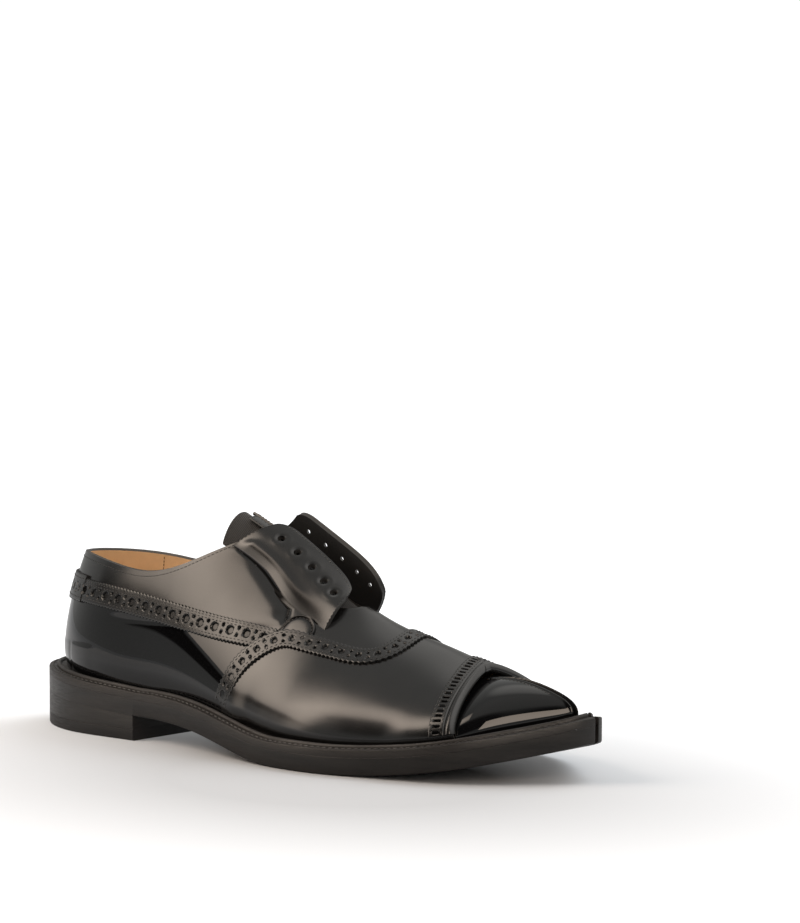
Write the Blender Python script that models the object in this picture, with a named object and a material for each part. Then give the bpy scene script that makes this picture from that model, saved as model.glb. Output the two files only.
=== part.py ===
"""Split-toe derby, right shoe, unlaced: sole, hollow upper, split toe piece, tongue and punched strips.

Blender script in metres, +Z up, toe towards +X, outer (lateral) side towards -Y. Sizes below are millimetres.
"""

from collections import namedtuple

import bmesh
import bpy
import numpy as np

MM = 0.001
GAP = 0.3
FOOT_GAP = 0.7

# Driving sizes
LENGTH = 300.0
BREAST = 0.263
CONTACT_START = 0.575
CONTACT_END = 0.655
TOE_SPRING = 16.0
BREAST_RISE = 10.8
ARCH_SWELL = 1.9
SEAT_PITCH = 5.2
WELT_THICK = 3.2
OUTSOLE_THICK = 7.3
TOP_LIFT = 5.0
INSOLE_ABOVE_WELT = 1.0
INSOLE_CLEAR = 0.7
INSOLE_NARROWS = 0.68
INSOLE_END = 0.92
WELT_WIDTH = 6.0
WELT_UNDERLAP = 1.6
BEAD_HEIGHT = 1.5
BEAD_FOOT = 3.6
WALL = 2.2
TOE_WALL = 1.8
TOE_INSET = 9.2
TIP_LEDGE = 0.8
TIP_LEDGE_START = 0.85
HEEL_LEDGE = 1.5
HEEL_LEDGE_END = 0.22
STRIP_THICK = 1.1
QUARTER_STRIP_HALF = 5.3
WING_STRIP_HALF = 4.6
TIP_OFFSET = 1.5
SOLE_EDGE = OUTSOLE_THICK + GAP + WELT_THICK
SOLE_CHAMFER = 0.8
LIFT_CHAMFER = 0.6
WELT_ROUND = 0.5
BEAD_CREST = 0.9
BEAD_WIDTH = 1.9

# How finely the curved pieces are divided
END_STATION = 0.0005
SOLE_ROWS = 64
HEEL_ROWS = 22
WELT_ROWS = 88
INSOLE_ROWS = 44
UPPER_ROUND_END = 0.14
UPPER_SIDE_END = 0.60
UPPER_ROUND_ROWS = 7
UPPER_SIDE_ROWS = 21
UPPER_FRONT_ROWS = 9
UPPER_ROWS_UP = 11
TOE_SIDE_END = 0.93
TOE_SIDE_ROWS = 8
TOE_TIP_ROWS = 10
TOE_ROWS_UP = 11
WING_ROWS = 30
QUARTER_STRIP_ROWS = 57
EDGE_STRIP_ROWS = 37
TONGUE_ROWS = 12
TONGUE_ROWS_ACROSS = 11
FACING_ROWS = 17
EYELET_SIDES = 10
CUTTER_REACH = 4.0

# Sole outline: half widths each side of the long axis at stations from heel (0) to toe (1)
OutlineRow = namedtuple("OutlineRow", "station lateral medial")
OUTLINE = [
    OutlineRow(0.10, 32.0, 32.5),
    OutlineRow(0.22, 37.0, 35.0),
    OutlineRow(0.40, 43.5, 37.5),
    OutlineRow(0.55, 53.5, 45.5),
    OutlineRow(0.66, 56.0, 51.0),
    OutlineRow(0.78, 49.5, 48.5),
    OutlineRow(0.90, 34.0, 31.5),
    OutlineRow(0.97, 14.5, 13.0),
]

# Top line of the last: distance from the heel, height and sideways place of the vamp and of the split toe
RidgeRow = namedtuple("RidgeRow", "x vamp toe vamp_y toe_y")
RIDGE = [
    RidgeRow(45, 112.0, 112.0, 2.0, 2.0),
    RidgeRow(80, 109.0, 109.0, 2.5, 2.5),
    RidgeRow(110, 101.0, 101.0, 3.6, 3.0),
    RidgeRow(130, 91.0, 90.0, 4.8, 3.5),
    RidgeRow(152, 78.0, 77.0, 5.9, 4.0),
    RidgeRow(175, 64.2, 62.0, 6.2, 4.0),
    RidgeRow(187, 58.6, 56.0, 6.2, 4.0),
    RidgeRow(199, 54.6, 50.5, 6.0, 3.5),
    RidgeRow(220, 49.4, 38.6, 5.6, 4.5),
    RidgeRow(241, 43.2, 37.8, 5.2, 3.9),
    RidgeRow(262, 38.2, 38.6, 5.0, 3.8),
    RidgeRow(282, 34.2, 34.6, 4.8, 3.2),
]

# Fullness of the sections: outward lean of the wall, pull of the side and pull of the top
SectionRow = namedtuple("SectionRow", "station lean side top")
SECTION = [
    SectionRow(0.00, 0.040, 0.33, 0.42),
    SectionRow(0.15, 0.045, 0.38, 0.49),
    SectionRow(0.30, 0.060, 0.44, 0.55),
    SectionRow(0.50, 0.080, 0.42, 0.27),
    SectionRow(0.62, 0.070, 0.41, 0.25),
    SectionRow(0.74, 0.055, 0.38, 0.22),
    SectionRow(0.85, 0.045, 0.40, 0.34),
    SectionRow(1.00, 0.045, 0.40, 0.36),
]
TOE_SECTION = [
    SectionRow(0.74, 0.030, 0.28, 0.18),
    SectionRow(0.82, 0.040, 0.27, 0.14),
    SectionRow(0.87, 0.050, 0.38, 0.42),
    SectionRow(0.93, 0.065, 0.54, 0.44),
    SectionRow(1.00, 0.080, 0.50, 0.57),
]

# Collar line: height over the floor at distances from the heel
CollarRow = namedtuple("CollarRow", "x height")
COLLAR = [
    CollarRow(5, 78.0),
    CollarRow(34, 77.5),
    CollarRow(55, 75.2),
    CollarRow(76, 73.4),
    CollarRow(94, 77.0),
    CollarRow(111, 84.5),
    CollarRow(119, 88.3),
    CollarRow(132, 94.0),
]

# Throat opening: half widths each side of the top line at distances from the heel
ThroatRow = namedtuple("ThroatRow", "x lateral medial")
THROAT = [
    ThroatRow(118, 12.0, 10.5),
    ThroatRow(135, 13.0, 11.0),
    ThroatRow(148, 15.0, 12.5),
    ThroatRow(158, 16.0, 13.5),
    ThroatRow(168, 13.0, 12.0),
    ThroatRow(175, 7.0, 7.0),
    ThroatRow(178, 0.0, 0.0),
]

# Facings: root on the upper (station, height) and free edge, from the collar down to the vamp
FacingRow = namedtuple("FacingRow", "station root_z edge_x edge_y edge_z")
FACING_LATERAL = [
    FacingRow(0.345, 86.5, 131.5, 6.5, 95.5),
    FacingRow(0.410, 77.0, 150.0, 6.5, 84.8),
    FacingRow(0.472, 65.0, 166.0, 5.2, 74.3),
    FacingRow(0.553, 54.5, 172.3, 1.5, 68.0),
]
FACING_MEDIAL = [
    FacingRow(0.335, 87.0, 133.0, 15.0, 101.2),
    FacingRow(0.395, 77.5, 153.5, 14.5, 90.3),
    FacingRow(0.455, 66.5, 170.5, 14.5, 80.0),
    FacingRow(0.540, 56.0, 176.5, 17.5, 70.5),
]
FACING_THICK = 2.0
FACING_ROOT_DEPTH = 0.8
FACING_BULGE = 3.0
FACING_CORNER_ALONG = 0.12
FACING_CORNER_ACROSS = 0.20
FACING_ACROSS = (-0.07, 0.12, 0.3, 0.5, 0.7, 0.88, 1.0)
INSTEP_SLOPE = (0.83, 0.0, -0.55)
EYELETS = 5
EYELET_RADIUS = 1.7
EYELET_LINE = 0.62
EYELET_FIRST = 0.15
EYELET_LAST = 0.83

# Split of the toe: a fold along the top line to the tip, carried on by a narrow notch through the sole
CLEFT_START = 232.0
CLEFT_FULL = 262.0
CLEFT_DEPTH = 6.0
CLEFT_HALF = 2.4
NOTCH_LENGTH = 20.0
NOTCH_MOUTH = 2.6
NOTCH_END = 0.8

# Front edge of the vamp: station on the top line, and how far each foot of the arch leads it
VAMP_FRONT = 0.833
LATERAL_LEAD = 0.030
MEDIAL_LEAD = 0.042
LEAD_START = 0.62
EDGE_STRIP_BACK = 0.0235
TOE_BACK = 0.800

# Strips, as paths over the upper: station and share of the way from the sole (0) to the top line (1)
PathRow = namedtuple("PathRow", "station share")
WING = [
    PathRow(0.443, 0.06),
    PathRow(0.456, 0.191),
    PathRow(0.470, 0.315),
    PathRow(0.503, 0.470),
    PathRow(0.540, 0.528),
    PathRow(0.590, 0.566),
    PathRow(0.640, 0.598),
    PathRow(0.668, 0.665),
    PathRow(0.679, 0.790),
    PathRow(0.675, 1.00),
]
StripRow = namedtuple("StripRow", "station height")
QUARTER_STRIP = [
    StripRow(0.000, 62.5),
    StripRow(0.142, 61.5),
    StripRow(0.281, 57.5),
    StripRow(0.379, 53.6),
    StripRow(0.448, 51.3),
]
EDGE_STRIP_HALF = 6.0
EDGE_STRIP_FOOT = 0.08
CROWD = 1.35
STRIP_LOWEST = 0.015

# Tongue: reach along the foot, depth under the last's surface at its top and front, share of the side
TONGUE_TOP = 110.0
TONGUE_FRONT = 190.0
TONGUE_TOP_DEPTH = 1.5
TONGUE_DEPTH = 3.6
TONGUE_RISE = 0.35
TONGUE_THICK = 2.4
TONGUE_SHARE = 0.70


def cubic(knots, values):
    """Natural cubic spline through the knots, as a function of a number or an array."""
    x = np.asarray(knots, float)
    y = np.asarray(values, float)
    step = np.diff(x)
    count = len(x)
    matrix = np.eye(count)
    right = np.zeros(count)
    for i in range(1, count - 1):
        matrix[i, i - 1 : i + 2] = step[i - 1], 2 * (step[i - 1] + step[i]), step[i]
        right[i] = 6 * ((y[i + 1] - y[i]) / step[i] - (y[i] - y[i - 1]) / step[i - 1])
    bend = np.linalg.solve(matrix, right)

    def value(at):
        at = np.asarray(at, float)
        i = np.clip(np.searchsorted(x, at) - 1, 0, count - 2)
        d = step[i]
        a = (x[i + 1] - at) / d
        b = (at - x[i]) / d
        curve = (bend[i] * (a**3 - a) + bend[i + 1] * (b**3 - b)) * d**2 / 6
        return a * y[i] + b * y[i + 1] + curve

    return value


def column(rows, name):
    return [getattr(row, name) for row in rows]


def width_curve(side):
    """Half width divided by sqrt(t (1 - t)), which rounds both ends of the outline."""
    station = np.array(column(OUTLINE, "station"))
    fullness = np.array(column(OUTLINE, side)) / np.sqrt(station * (1 - station))
    ends = [0.0, *station, 1.0]
    return cubic(ends, [fullness[0], *fullness, fullness[-1]])


LATERAL_WIDTH = width_curve("lateral")
MEDIAL_WIDTH = width_curve("medial")
VAMP_RIDGE, TOE_RIDGE, VAMP_RIDGE_Y, TOE_RIDGE_Y = (
    cubic(column(RIDGE, "x"), column(RIDGE, name)) for name in ("vamp", "toe", "vamp_y", "toe_y")
)


def section_curves(rows):
    return [cubic(column(rows, "station"), column(rows, name)) for name in ("lean", "side", "top")]


VAMP_CURVES = section_curves(SECTION)
TOE_CURVES = section_curves(TOE_SECTION)
COLLAR_HEIGHT = cubic(column(COLLAR, "x"), column(COLLAR, "height"))


def station_of(turn):
    """Station along the foot for a turn: 0 at the heel, 0.5 at the toe, positive along the lateral side."""
    return (1 - np.cos(2 * np.pi * np.asarray(turn, float))) / 2


def turn_of(station):
    return np.arccos(1 - 2 * np.asarray(station, float)) / (2 * np.pi)


def raw_outline(turn):
    turn = np.asarray(turn, float)
    t = station_of(turn)
    side = np.sin(2 * np.pi * turn)
    half = np.where(side > 0, LATERAL_WIDTH(t), MEDIAL_WIDTH(t))
    return np.stack([LENGTH * t, TIP_OFFSET * t**3 - side / 2 * half], -1)


def middle_of_outline():
    """Middle of the outline's width, so that the origin falls under the middle of the shoe's box."""
    y = raw_outline(np.linspace(-0.5, 0.5, 4001))[:, 1]
    return (y.min() + y.max()) / 2


MIDDLE_Y = middle_of_outline()


def outward(turn):
    """Level unit normal of the outline."""
    small = 1e-4
    along = raw_outline(np.asarray(turn) + small) - raw_outline(np.asarray(turn) - small)
    along /= np.linalg.norm(along, axis=-1, keepdims=True)
    return np.stack([along[..., 1], -along[..., 0]], -1)


def outline(turn, inset):
    """Points of the sole's outline, moved in by the inset, in the shoe's own frame."""
    place = raw_outline(turn) - outward(turn) * np.asarray(inset, float)[..., None]
    return place - np.array([LENGTH / 2, MIDDLE_Y])


def sole_bottom(station):
    """Underside of the outsole: heel seat, arch, flat tread and toe spring."""
    t = np.asarray(station, float)
    seat = BREAST_RISE + SEAT_PITCH * (BREAST - t) / BREAST
    u = np.clip((CONTACT_START - t) / (CONTACT_START - BREAST), 0, 1)
    arch = BREAST_RISE * (3 * u**2 - 2 * u**3) + ARCH_SWELL * 16 * u**2 * (1 - u) ** 2
    spring = TOE_SPRING * (np.clip(t - CONTACT_END, 0, None) / (1 - CONTACT_END)) ** 2
    return np.where(t < BREAST, seat, arch + spring)


def welt_top(station):
    return sole_bottom(station) + SOLE_EDGE


def ease(value):
    """Smooth step from 0 to 1."""
    u = np.clip(value, 0, 1)
    return u * u * (3 - 2 * u)


def upper_inset(station):
    """Distance of the upper's foot from the sole's edge, wider behind the heel."""
    return WELT_WIDTH + HEEL_LEDGE * ease(1 - np.asarray(station, float) / HEEL_LEDGE_END)


def toe_inset(station):
    """Distance of the toe piece's foot from the sole's edge, wider at the tip."""
    tip = (np.asarray(station, float) - TIP_LEDGE_START) / (1 - TIP_LEDGE_START)
    return TOE_INSET + TIP_LEDGE * ease(tip)


def ridge_place(station, ridge, sideways):
    """Point of the top line that belongs to a station, and the top line's slope there."""
    first, last = RIDGE[0].x, RIDGE[-1].x
    x = first + (last - first) * np.asarray(station, float)
    slope = ridge(x + 0.5) - ridge(x - 0.5)
    return np.stack([x - LENGTH / 2, sideways(x), ridge(x)], -1), slope


def wall(turn, share, inset=upper_inset, ridge=VAMP_RIDGE, sideways=VAMP_RIDGE_Y, curves=VAMP_CURVES):
    """The last's surface: share 0 on the sole, 1 on the top line, and up to 2 down the other side."""
    turn, share = np.broadcast_arrays(np.asarray(turn, float), np.asarray(share, float))
    over = share > 1
    turn = np.where(over, -turn, turn)
    share = np.where(over, 2 - share, share)
    t = station_of(turn)
    foot = np.concatenate([outline(turn, inset(t)), (welt_top(t) + FOOT_GAP)[..., None]], -1)
    top, slope = ridge_place(t, ridge, sideways)
    rise = (top - foot)[..., 2:]
    level = (foot - top)[..., :2]
    reach = np.linalg.norm(level, axis=-1, keepdims=True)
    across = level / reach
    lean, side, pull = (curve(t)[..., None] for curve in curves)
    low = foot + np.concatenate([outward(turn) * lean * rise, side * rise], -1)
    fall = slope[..., None] * across[..., :1]
    high = top + pull * reach * np.concatenate([across, fall], -1)
    s = share[..., None]
    return (1 - s) ** 3 * foot + 3 * (1 - s) ** 2 * s * low + 3 * (1 - s) * s**2 * high + s**3 * top


def surface(turn, share, lift):
    """Point on the upper, lifted along its outward normal, with that normal."""
    small = 1e-3
    turn, share = np.broadcast_arrays(np.asarray(turn, float), np.asarray(share, float))
    along = wall(turn + small, share) - wall(turn - small, share)
    up = wall(turn, share + small) - wall(turn, share - small)
    normal = np.cross(along, up)
    normal /= np.linalg.norm(normal, axis=-1, keepdims=True)
    return wall(turn, share) + normal * lift, normal


def share_at_height(turn, height):
    """Share up the wall where it reaches a height."""
    shares = np.linspace(0, 1, 81)
    z = wall(turn, shares)[:, 2]
    return float(np.interp(height, z, shares))


def in_opening(points):
    """True where the last's surface is open: above the collar, or between the throat's edges."""
    x = points[..., 0] + LENGTH / 2
    offset = points[..., 1] - VAMP_RIDGE_Y(x)
    lateral = np.interp(x, column(THROAT, "x"), column(THROAT, "lateral"))
    medial = np.interp(x, column(THROAT, "x"), column(THROAT, "medial"))
    throat = (offset > -lateral) & (offset < medial) & (x > THROAT[0].x)
    collar = (points[..., 2] > COLLAR_HEIGHT(x)) & (x < COLLAR[-1].x)
    return throat | collar


def rim_share(turn):
    """Share at which a section of the upper ends: at the opening, or at the top line."""
    shares = np.linspace(0.3, 1, 701)
    inside = in_opening(wall(turn, shares))
    return float(shares[inside.argmax()]) if inside.any() else 1.0


def led(turn, shares):
    """Turns of a section whose foot leads its top, more and more towards the vamp's front edge."""
    side = 1 if turn >= 0 else -1
    station = float(station_of(turn))
    lead = LATERAL_LEAD if side > 0 else MEDIAL_LEAD
    grown = lead * ease((station - LEAD_START) / (VAMP_FRONT - LEAD_START))
    return side * turn_of(station + grown * (1 - shares))


class Builder:
    """Vertices and faces of one mesh, in millimetres."""

    def __init__(self):
        self.points = []
        self.faces = []

    def add(self, points):
        first = len(self.points)
        self.points.extend(tuple(map(float, p)) for p in points)
        return list(range(first, len(self.points)))

    def band(self, low, high, closed=False):
        """Quads between two rows of vertex numbers, facing left of the way from low to high."""
        count = len(low)
        for i in range(count if closed else count - 1):
            j = (i + 1) % count
            ring = [low[i], low[j], high[j], high[i]]
            self.faces.append([v for k, v in enumerate(ring) if v != ring[k - 1]])


def material(name, colour, roughness):
    made = bpy.data.materials.new(name)
    made.use_nodes = True
    shader = made.node_tree.nodes["Principled BSDF"]
    shader.inputs["Base Color"].default_value = (*colour, 1.0)
    shader.inputs["Roughness"].default_value = roughness
    shader.inputs["Metallic"].default_value = 0.0
    return made


def make_object(name, builder, finish, helper=False):
    """One object from a builder's mesh, with its faces turned outwards and shaded smooth."""
    mesh = bpy.data.meshes.new(name)
    mesh.from_pydata([tuple(MM * c for c in p) for p in builder.points], [], builder.faces)
    edit = bmesh.new()
    edit.from_mesh(mesh)
    bmesh.ops.remove_doubles(edit, verts=edit.verts, dist=1e-6)
    bmesh.ops.recalc_face_normals(edit, faces=edit.faces)
    edit.to_mesh(mesh)
    edit.free()
    mesh.shade_smooth()
    mesh.set_sharp_from_angle(angle=0.6)
    made = bpy.data.objects.new(name, mesh)
    bpy.context.scene.collection.objects.link(made)
    if helper:
        made.hide_render = True
        made.display_type = "WIRE"
    else:
        mesh.materials.append(finish)
        made.parent = SHOE
    return made


def boolean(target, other, operation):
    modifier = target.modifiers.new(operation.lower() + "_" + other.name, "BOOLEAN")
    modifier.operation = operation
    modifier.object = other
    modifier.solver = "EXACT"


def ladder(builder, stations, inset, low, high, chamfer=0.0):
    """A plate between two heights that change along the foot, from an outline's two sides."""
    turns = turn_of(np.asarray(stations))
    insets = inset + np.zeros(len(turns))

    def ring(extra, height):
        lateral = outline(turns, insets + extra)
        medial = outline(-turns, insets + extra)
        z = height(np.asarray(stations))[:, None]
        return builder.add(np.hstack([lateral, z])), builder.add(np.hstack([medial, z]))

    top = ring(0.0, high)
    bottom = ring(chamfer, low)
    rings = [bottom, top]
    if chamfer:
        rings = [bottom, ring(0.0, lambda t: low(t) + chamfer), top]
    builder.band(top[0], top[1])
    builder.band(bottom[1], bottom[0])
    for lower, upper in zip(rings, rings[1:]):
        builder.band(lower[0], upper[0])
        builder.band(upper[1], lower[1])
        for end in (0, -1):
            ends = [lower[0][end], lower[1][end], upper[1][end], upper[0][end]]
            builder.faces.append(ends if end else ends[::-1])


def cosine_stations(first, last, count):
    return first + (last - first) * (1 - np.cos(np.linspace(0, np.pi, count))) / 2


def round_stations(last, count):
    """Stations from the heel's back to a cut, close together where the outline is round."""
    return last * (1 - np.cos(np.linspace(0, np.pi / 2, count)))


def notch_cutter():
    """Wedge that parts the sole at the tip of the toe."""
    tip = outline(0.5, 0.0)
    builder = Builder()
    half_end = NOTCH_END / 2
    half_mouth = NOTCH_MOUTH / 2
    corners = [
        (tip[0] - NOTCH_LENGTH, tip[1] - half_end),
        (tip[0] + CUTTER_REACH, tip[1] - half_mouth),
        (tip[0] + CUTTER_REACH, tip[1] + half_mouth),
        (tip[0] - NOTCH_LENGTH, tip[1] + half_end),
    ]
    low = builder.add([(*c, -CUTTER_REACH) for c in corners])
    high = builder.add([(*c, TOE_SPRING + SOLE_EDGE + CUTTER_REACH) for c in corners])
    builder.band(low, high, closed=True)
    builder.faces.append(low[::-1])
    builder.faces.append(high)
    return make_object("notch_cutter", builder, None, helper=True)


def build_outsole(notch):
    builder = Builder()
    stations = cosine_stations(END_STATION, 1 - END_STATION, SOLE_ROWS)
    stations = np.array(sorted([*stations, BREAST, CONTACT_START, CONTACT_END]))
    ladder(builder, stations, 0.0, sole_bottom, lambda t: sole_bottom(t) + OUTSOLE_THICK, SOLE_CHAMFER)
    made = make_object("outsole", builder, material("sole_leather", (0.018, 0.016, 0.015), 0.45))
    boolean(made, notch, "DIFFERENCE")


def build_heel():
    edge = material("heel_edge", (0.018, 0.016, 0.015), 0.45)
    lift = material("top_lift_rubber", (0.015, 0.014, 0.014), 0.6)
    stations = round_stations(BREAST, HEEL_ROWS)
    stations[0] = END_STATION
    block = Builder()
    ladder(block, stations, 0.0, lambda t: np.full(t.shape, TOP_LIFT + GAP), lambda t: sole_bottom(t) - GAP)
    make_object("heel_block", block, edge)
    plate = Builder()
    ladder(plate, stations, 0.0, np.zeros_like, lambda t: np.full(t.shape, TOP_LIFT), LIFT_CHAMFER)
    make_object("top_lift", plate, lift)


def build_welt(notch):
    """Ring between upper and outsole, with a low bead along the upper."""
    builder = Builder()
    turns = np.linspace(-0.5, 0.5, WELT_ROWS + 1)[:-1]
    base = sole_bottom(station_of(turns)) + OUTSOLE_THICK + GAP
    inner = upper_inset(station_of(turns)) + WELT_UNDERLAP
    profile = [
        (0.0, 0.0),
        (0.0, WELT_THICK - WELT_ROUND),
        (WELT_ROUND, WELT_THICK),
        (BEAD_FOOT, WELT_THICK),
        (BEAD_FOOT + BEAD_CREST, WELT_THICK + BEAD_HEIGHT),
        (BEAD_FOOT + BEAD_WIDTH, WELT_THICK),
        (inner, WELT_THICK),
        (inner, 0.0),
    ]
    rows = []
    for inset, height in profile:
        plan = outline(turns, inset + np.zeros(turns.shape))
        rows.append(builder.add(np.hstack([plan, (base + height)[:, None]])))
    for lower, upper in zip(rows, rows[1:] + rows[:1]):
        builder.band(lower, upper, closed=True)
    made = make_object("welt", builder, material("welt_leather", (0.020, 0.017, 0.015), 0.5))
    boolean(made, notch, "DIFFERENCE")


def build_insole():
    builder = Builder()
    stations = cosine_stations(END_STATION, INSOLE_END, INSOLE_ROWS)
    toe_share = np.clip((stations - INSOLE_NARROWS) / (TOE_BACK - INSOLE_NARROWS), 0, 1)
    behind = upper_inset(stations) + WALL
    ahead = toe_inset(stations) + TOE_WALL
    inset = behind + (ahead - behind) * toe_share + INSOLE_CLEAR
    ladder(
        builder,
        stations,
        inset,
        lambda t: sole_bottom(t) + OUTSOLE_THICK + GAP,
        lambda t: welt_top(t) + INSOLE_ABOVE_WELT,
    )
    make_object("insole", builder, material("insole_leather", (0.50, 0.30, 0.15), 0.6))


def facing_grid(rows, side):
    """Points of a facing from its root inside the upper's wall (first) to its free edge (last)."""
    steps = np.linspace(0, 1, len(rows))
    curves = {name: cubic(steps, column(rows, name)) for name in FacingRow._fields}
    grid = []
    for s in cosine_stations(0.0, 1.0, FACING_ROWS):
        turn = side * float(turn_of(curves["station"](s)))
        share = share_at_height(turn, curves["root_z"](s))
        root, _ = surface(turn, share, -FACING_ROOT_DEPTH)
        free = np.array([curves["edge_x"](s) - LENGTH / 2, curves["edge_y"](s), curves["edge_z"](s)])
        corner = np.clip(1 - min(s, 1 - s) / FACING_CORNER_ALONG, 0, 1)
        reach = 1 - FACING_CORNER_ACROSS * (1 - np.sqrt(1 - corner**2))
        way = free - root
        rise = np.cross(way, INSTEP_SLOPE) * -side
        rise /= np.linalg.norm(rise)
        w = np.array(FACING_ACROSS) * reach
        bulge = FACING_BULGE * 4 * np.clip(w, 0, 1) * (1 - np.clip(w, 0, 1))
        grid.append(root + w[:, None] * way + bulge[:, None] * rise)
    return np.array(grid)


def grid_mesh(builder, grid):
    rows = [builder.add(row) for row in grid]
    for low, high in zip(rows, rows[1:]):
        builder.band(low, high)
    return rows


def build_facing(name, rows, side):
    builder = Builder()
    grid_mesh(builder, facing_grid(rows, side))
    made = make_object(name, builder, None, helper=True)
    thicken(made, FACING_THICK, 0.0)
    return made


def thicken(target, thickness, offset):
    modifier = target.modifiers.new("thickness", "SOLIDIFY")
    modifier.thickness = thickness * MM
    modifier.offset = offset
    modifier.use_even_offset = True


def eyelet_cutter(name, rows, side):
    """Round holes along a facing, on its own slope."""
    grid = facing_grid(rows, side)
    builder = Builder()
    for s in np.linspace(EYELET_FIRST, EYELET_LAST, EYELETS):
        place, normal, across = facing_point(grid, s, EYELET_LINE)
        other = np.cross(normal, across)
        angle = np.linspace(0, 2 * np.pi, EYELET_SIDES, endpoint=False)[:, None]
        ring = EYELET_RADIUS * (np.cos(angle) * across + np.sin(angle) * other)
        low = builder.add(place + ring - CUTTER_REACH * normal)
        high = builder.add(place + ring + CUTTER_REACH * normal)
        builder.band(low, high, closed=True)
        builder.faces.append(low[::-1])
        builder.faces.append(high)
    return make_object(name, builder, None, helper=True)


def facing_point(grid, s, w):
    """Point, normal and cross direction on a facing at a share along and a share across."""
    along = cosine_stations(0.0, 1.0, len(grid))
    i = int(np.clip(np.searchsorted(along, s) - 1, 0, len(grid) - 2))
    a = (s - along[i]) / (along[i + 1] - along[i])
    row = grid[i] * (1 - a) + grid[i + 1] * a
    shares = np.linspace(0, 1, len(row))
    place = np.array([np.interp(w, shares, row[:, k]) for k in range(3)])
    across = row[-1] - row[1]
    middle = len(row) // 2
    normal = np.cross(across, grid[i + 1][middle] - grid[i][middle])
    across /= np.linalg.norm(across)
    normal /= np.linalg.norm(normal)
    return place, normal, across


def build_upper():
    """Quarters, facings and vamp: one hollow wall, open at collar, throat, front edge and underneath."""
    builder = Builder()
    side_turns = np.concatenate([
        turn_of(round_stations(UPPER_ROUND_END, UPPER_ROUND_ROWS)),
        turn_of(np.linspace(UPPER_ROUND_END, UPPER_SIDE_END, UPPER_SIDE_ROWS)[1:]),
        turn_of(np.linspace(UPPER_SIDE_END, VAMP_FRONT, UPPER_FRONT_ROWS)[1:]),
    ])
    turns = np.concatenate([side_turns[::-1], -side_turns[1:]])
    columns = []
    for turn in turns:
        shares = rim_share(turn) * (1 - np.linspace(1, 0, UPPER_ROWS_UP) ** CROWD)
        columns.append(builder.add(wall(led(turn, shares), shares)))
    for left, right in zip(columns, columns[1:]):
        builder.band(left, right)
    leather = material("calf_leather", (0.012, 0.011, 0.011), 0.28)
    made = make_object("upper", builder, leather)
    thicken(made, WALL, -1.0)
    for name, rows, side in (("lateral", FACING_LATERAL, 1), ("medial", FACING_MEDIAL, -1)):
        boolean(made, build_facing("facing_" + name, rows, side), "UNION")
        boolean(made, eyelet_cutter("eyelets_" + name, rows, side), "DIFFERENCE")


def split_depth(points, half):
    """How far the toe's skin is pushed in along its split."""
    x = points[..., 0] + LENGTH / 2
    middle = TOE_RIDGE_Y(np.minimum(x, RIDGE[-1].x))
    depth = CLEFT_DEPTH * np.clip((x - CLEFT_START) / (CLEFT_FULL - CLEFT_START), 0, 1)
    near = np.clip(1 - np.abs(points[..., 1] - middle) / half, 0, 1)
    return depth * near**1.5


def toe_grid(extra, drop, half):
    """Skin of the split toe as columns from the sole to the top line, round the tip from side to side."""
    sides = turn_of(np.linspace(TOE_BACK, TOE_SIDE_END, TOE_SIDE_ROWS))
    tip = 0.5 - (0.5 - sides[-1]) * np.linspace(1, 0, TOE_TIP_ROWS)[1:] ** 1.6
    turns = np.concatenate([sides, tip])
    turns = np.concatenate([turns, -turns[::-1][1:]])
    shares = 1 - np.linspace(1, 0, TOE_ROWS_UP) ** 1.35

    def inset(station):
        return toe_inset(station) + extra

    def ridge(x):
        return TOE_RIDGE(x) - drop

    grid = np.array([wall(turn, shares, inset, ridge, TOE_RIDGE_Y, TOE_CURVES) for turn in turns])
    push = split_depth(grid, half)
    in_front = grid[..., 0] + LENGTH / 2 > CLEFT_FULL
    grid[..., 2] -= push * shares
    grid[..., 0] -= push * (1 - shares) * in_front
    return grid


def build_toe():
    builder = Builder()
    outer = toe_grid(0.0, 0.0, CLEFT_HALF)
    inner = toe_grid(TOE_WALL, TOE_WALL, CLEFT_HALF + TOE_WALL)
    count = len(outer)
    skins = []
    for grid in (outer, inner):
        columns = [builder.add(col) for col in grid]
        for i in range(count // 2):
            columns[count - 1 - i][-1] = columns[i][-1]
        skins.append(columns)
    for left, right in zip(skins[0], skins[0][1:]):
        builder.band(left, right)
    for left, right in zip(skins[1], skins[1][1:]):
        builder.band(right, left)
    builder.band([c[0] for c in skins[0]], [c[0] for c in skins[1]])
    back_outer = skins[0][0] + skins[0][-1][::-1][1:]
    back_inner = skins[1][0] + skins[1][-1][::-1][1:]
    builder.band(back_inner, back_outer)
    make_object("toe_piece", builder, material("patent_leather", (0.008, 0.008, 0.009), 0.06))


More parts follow.
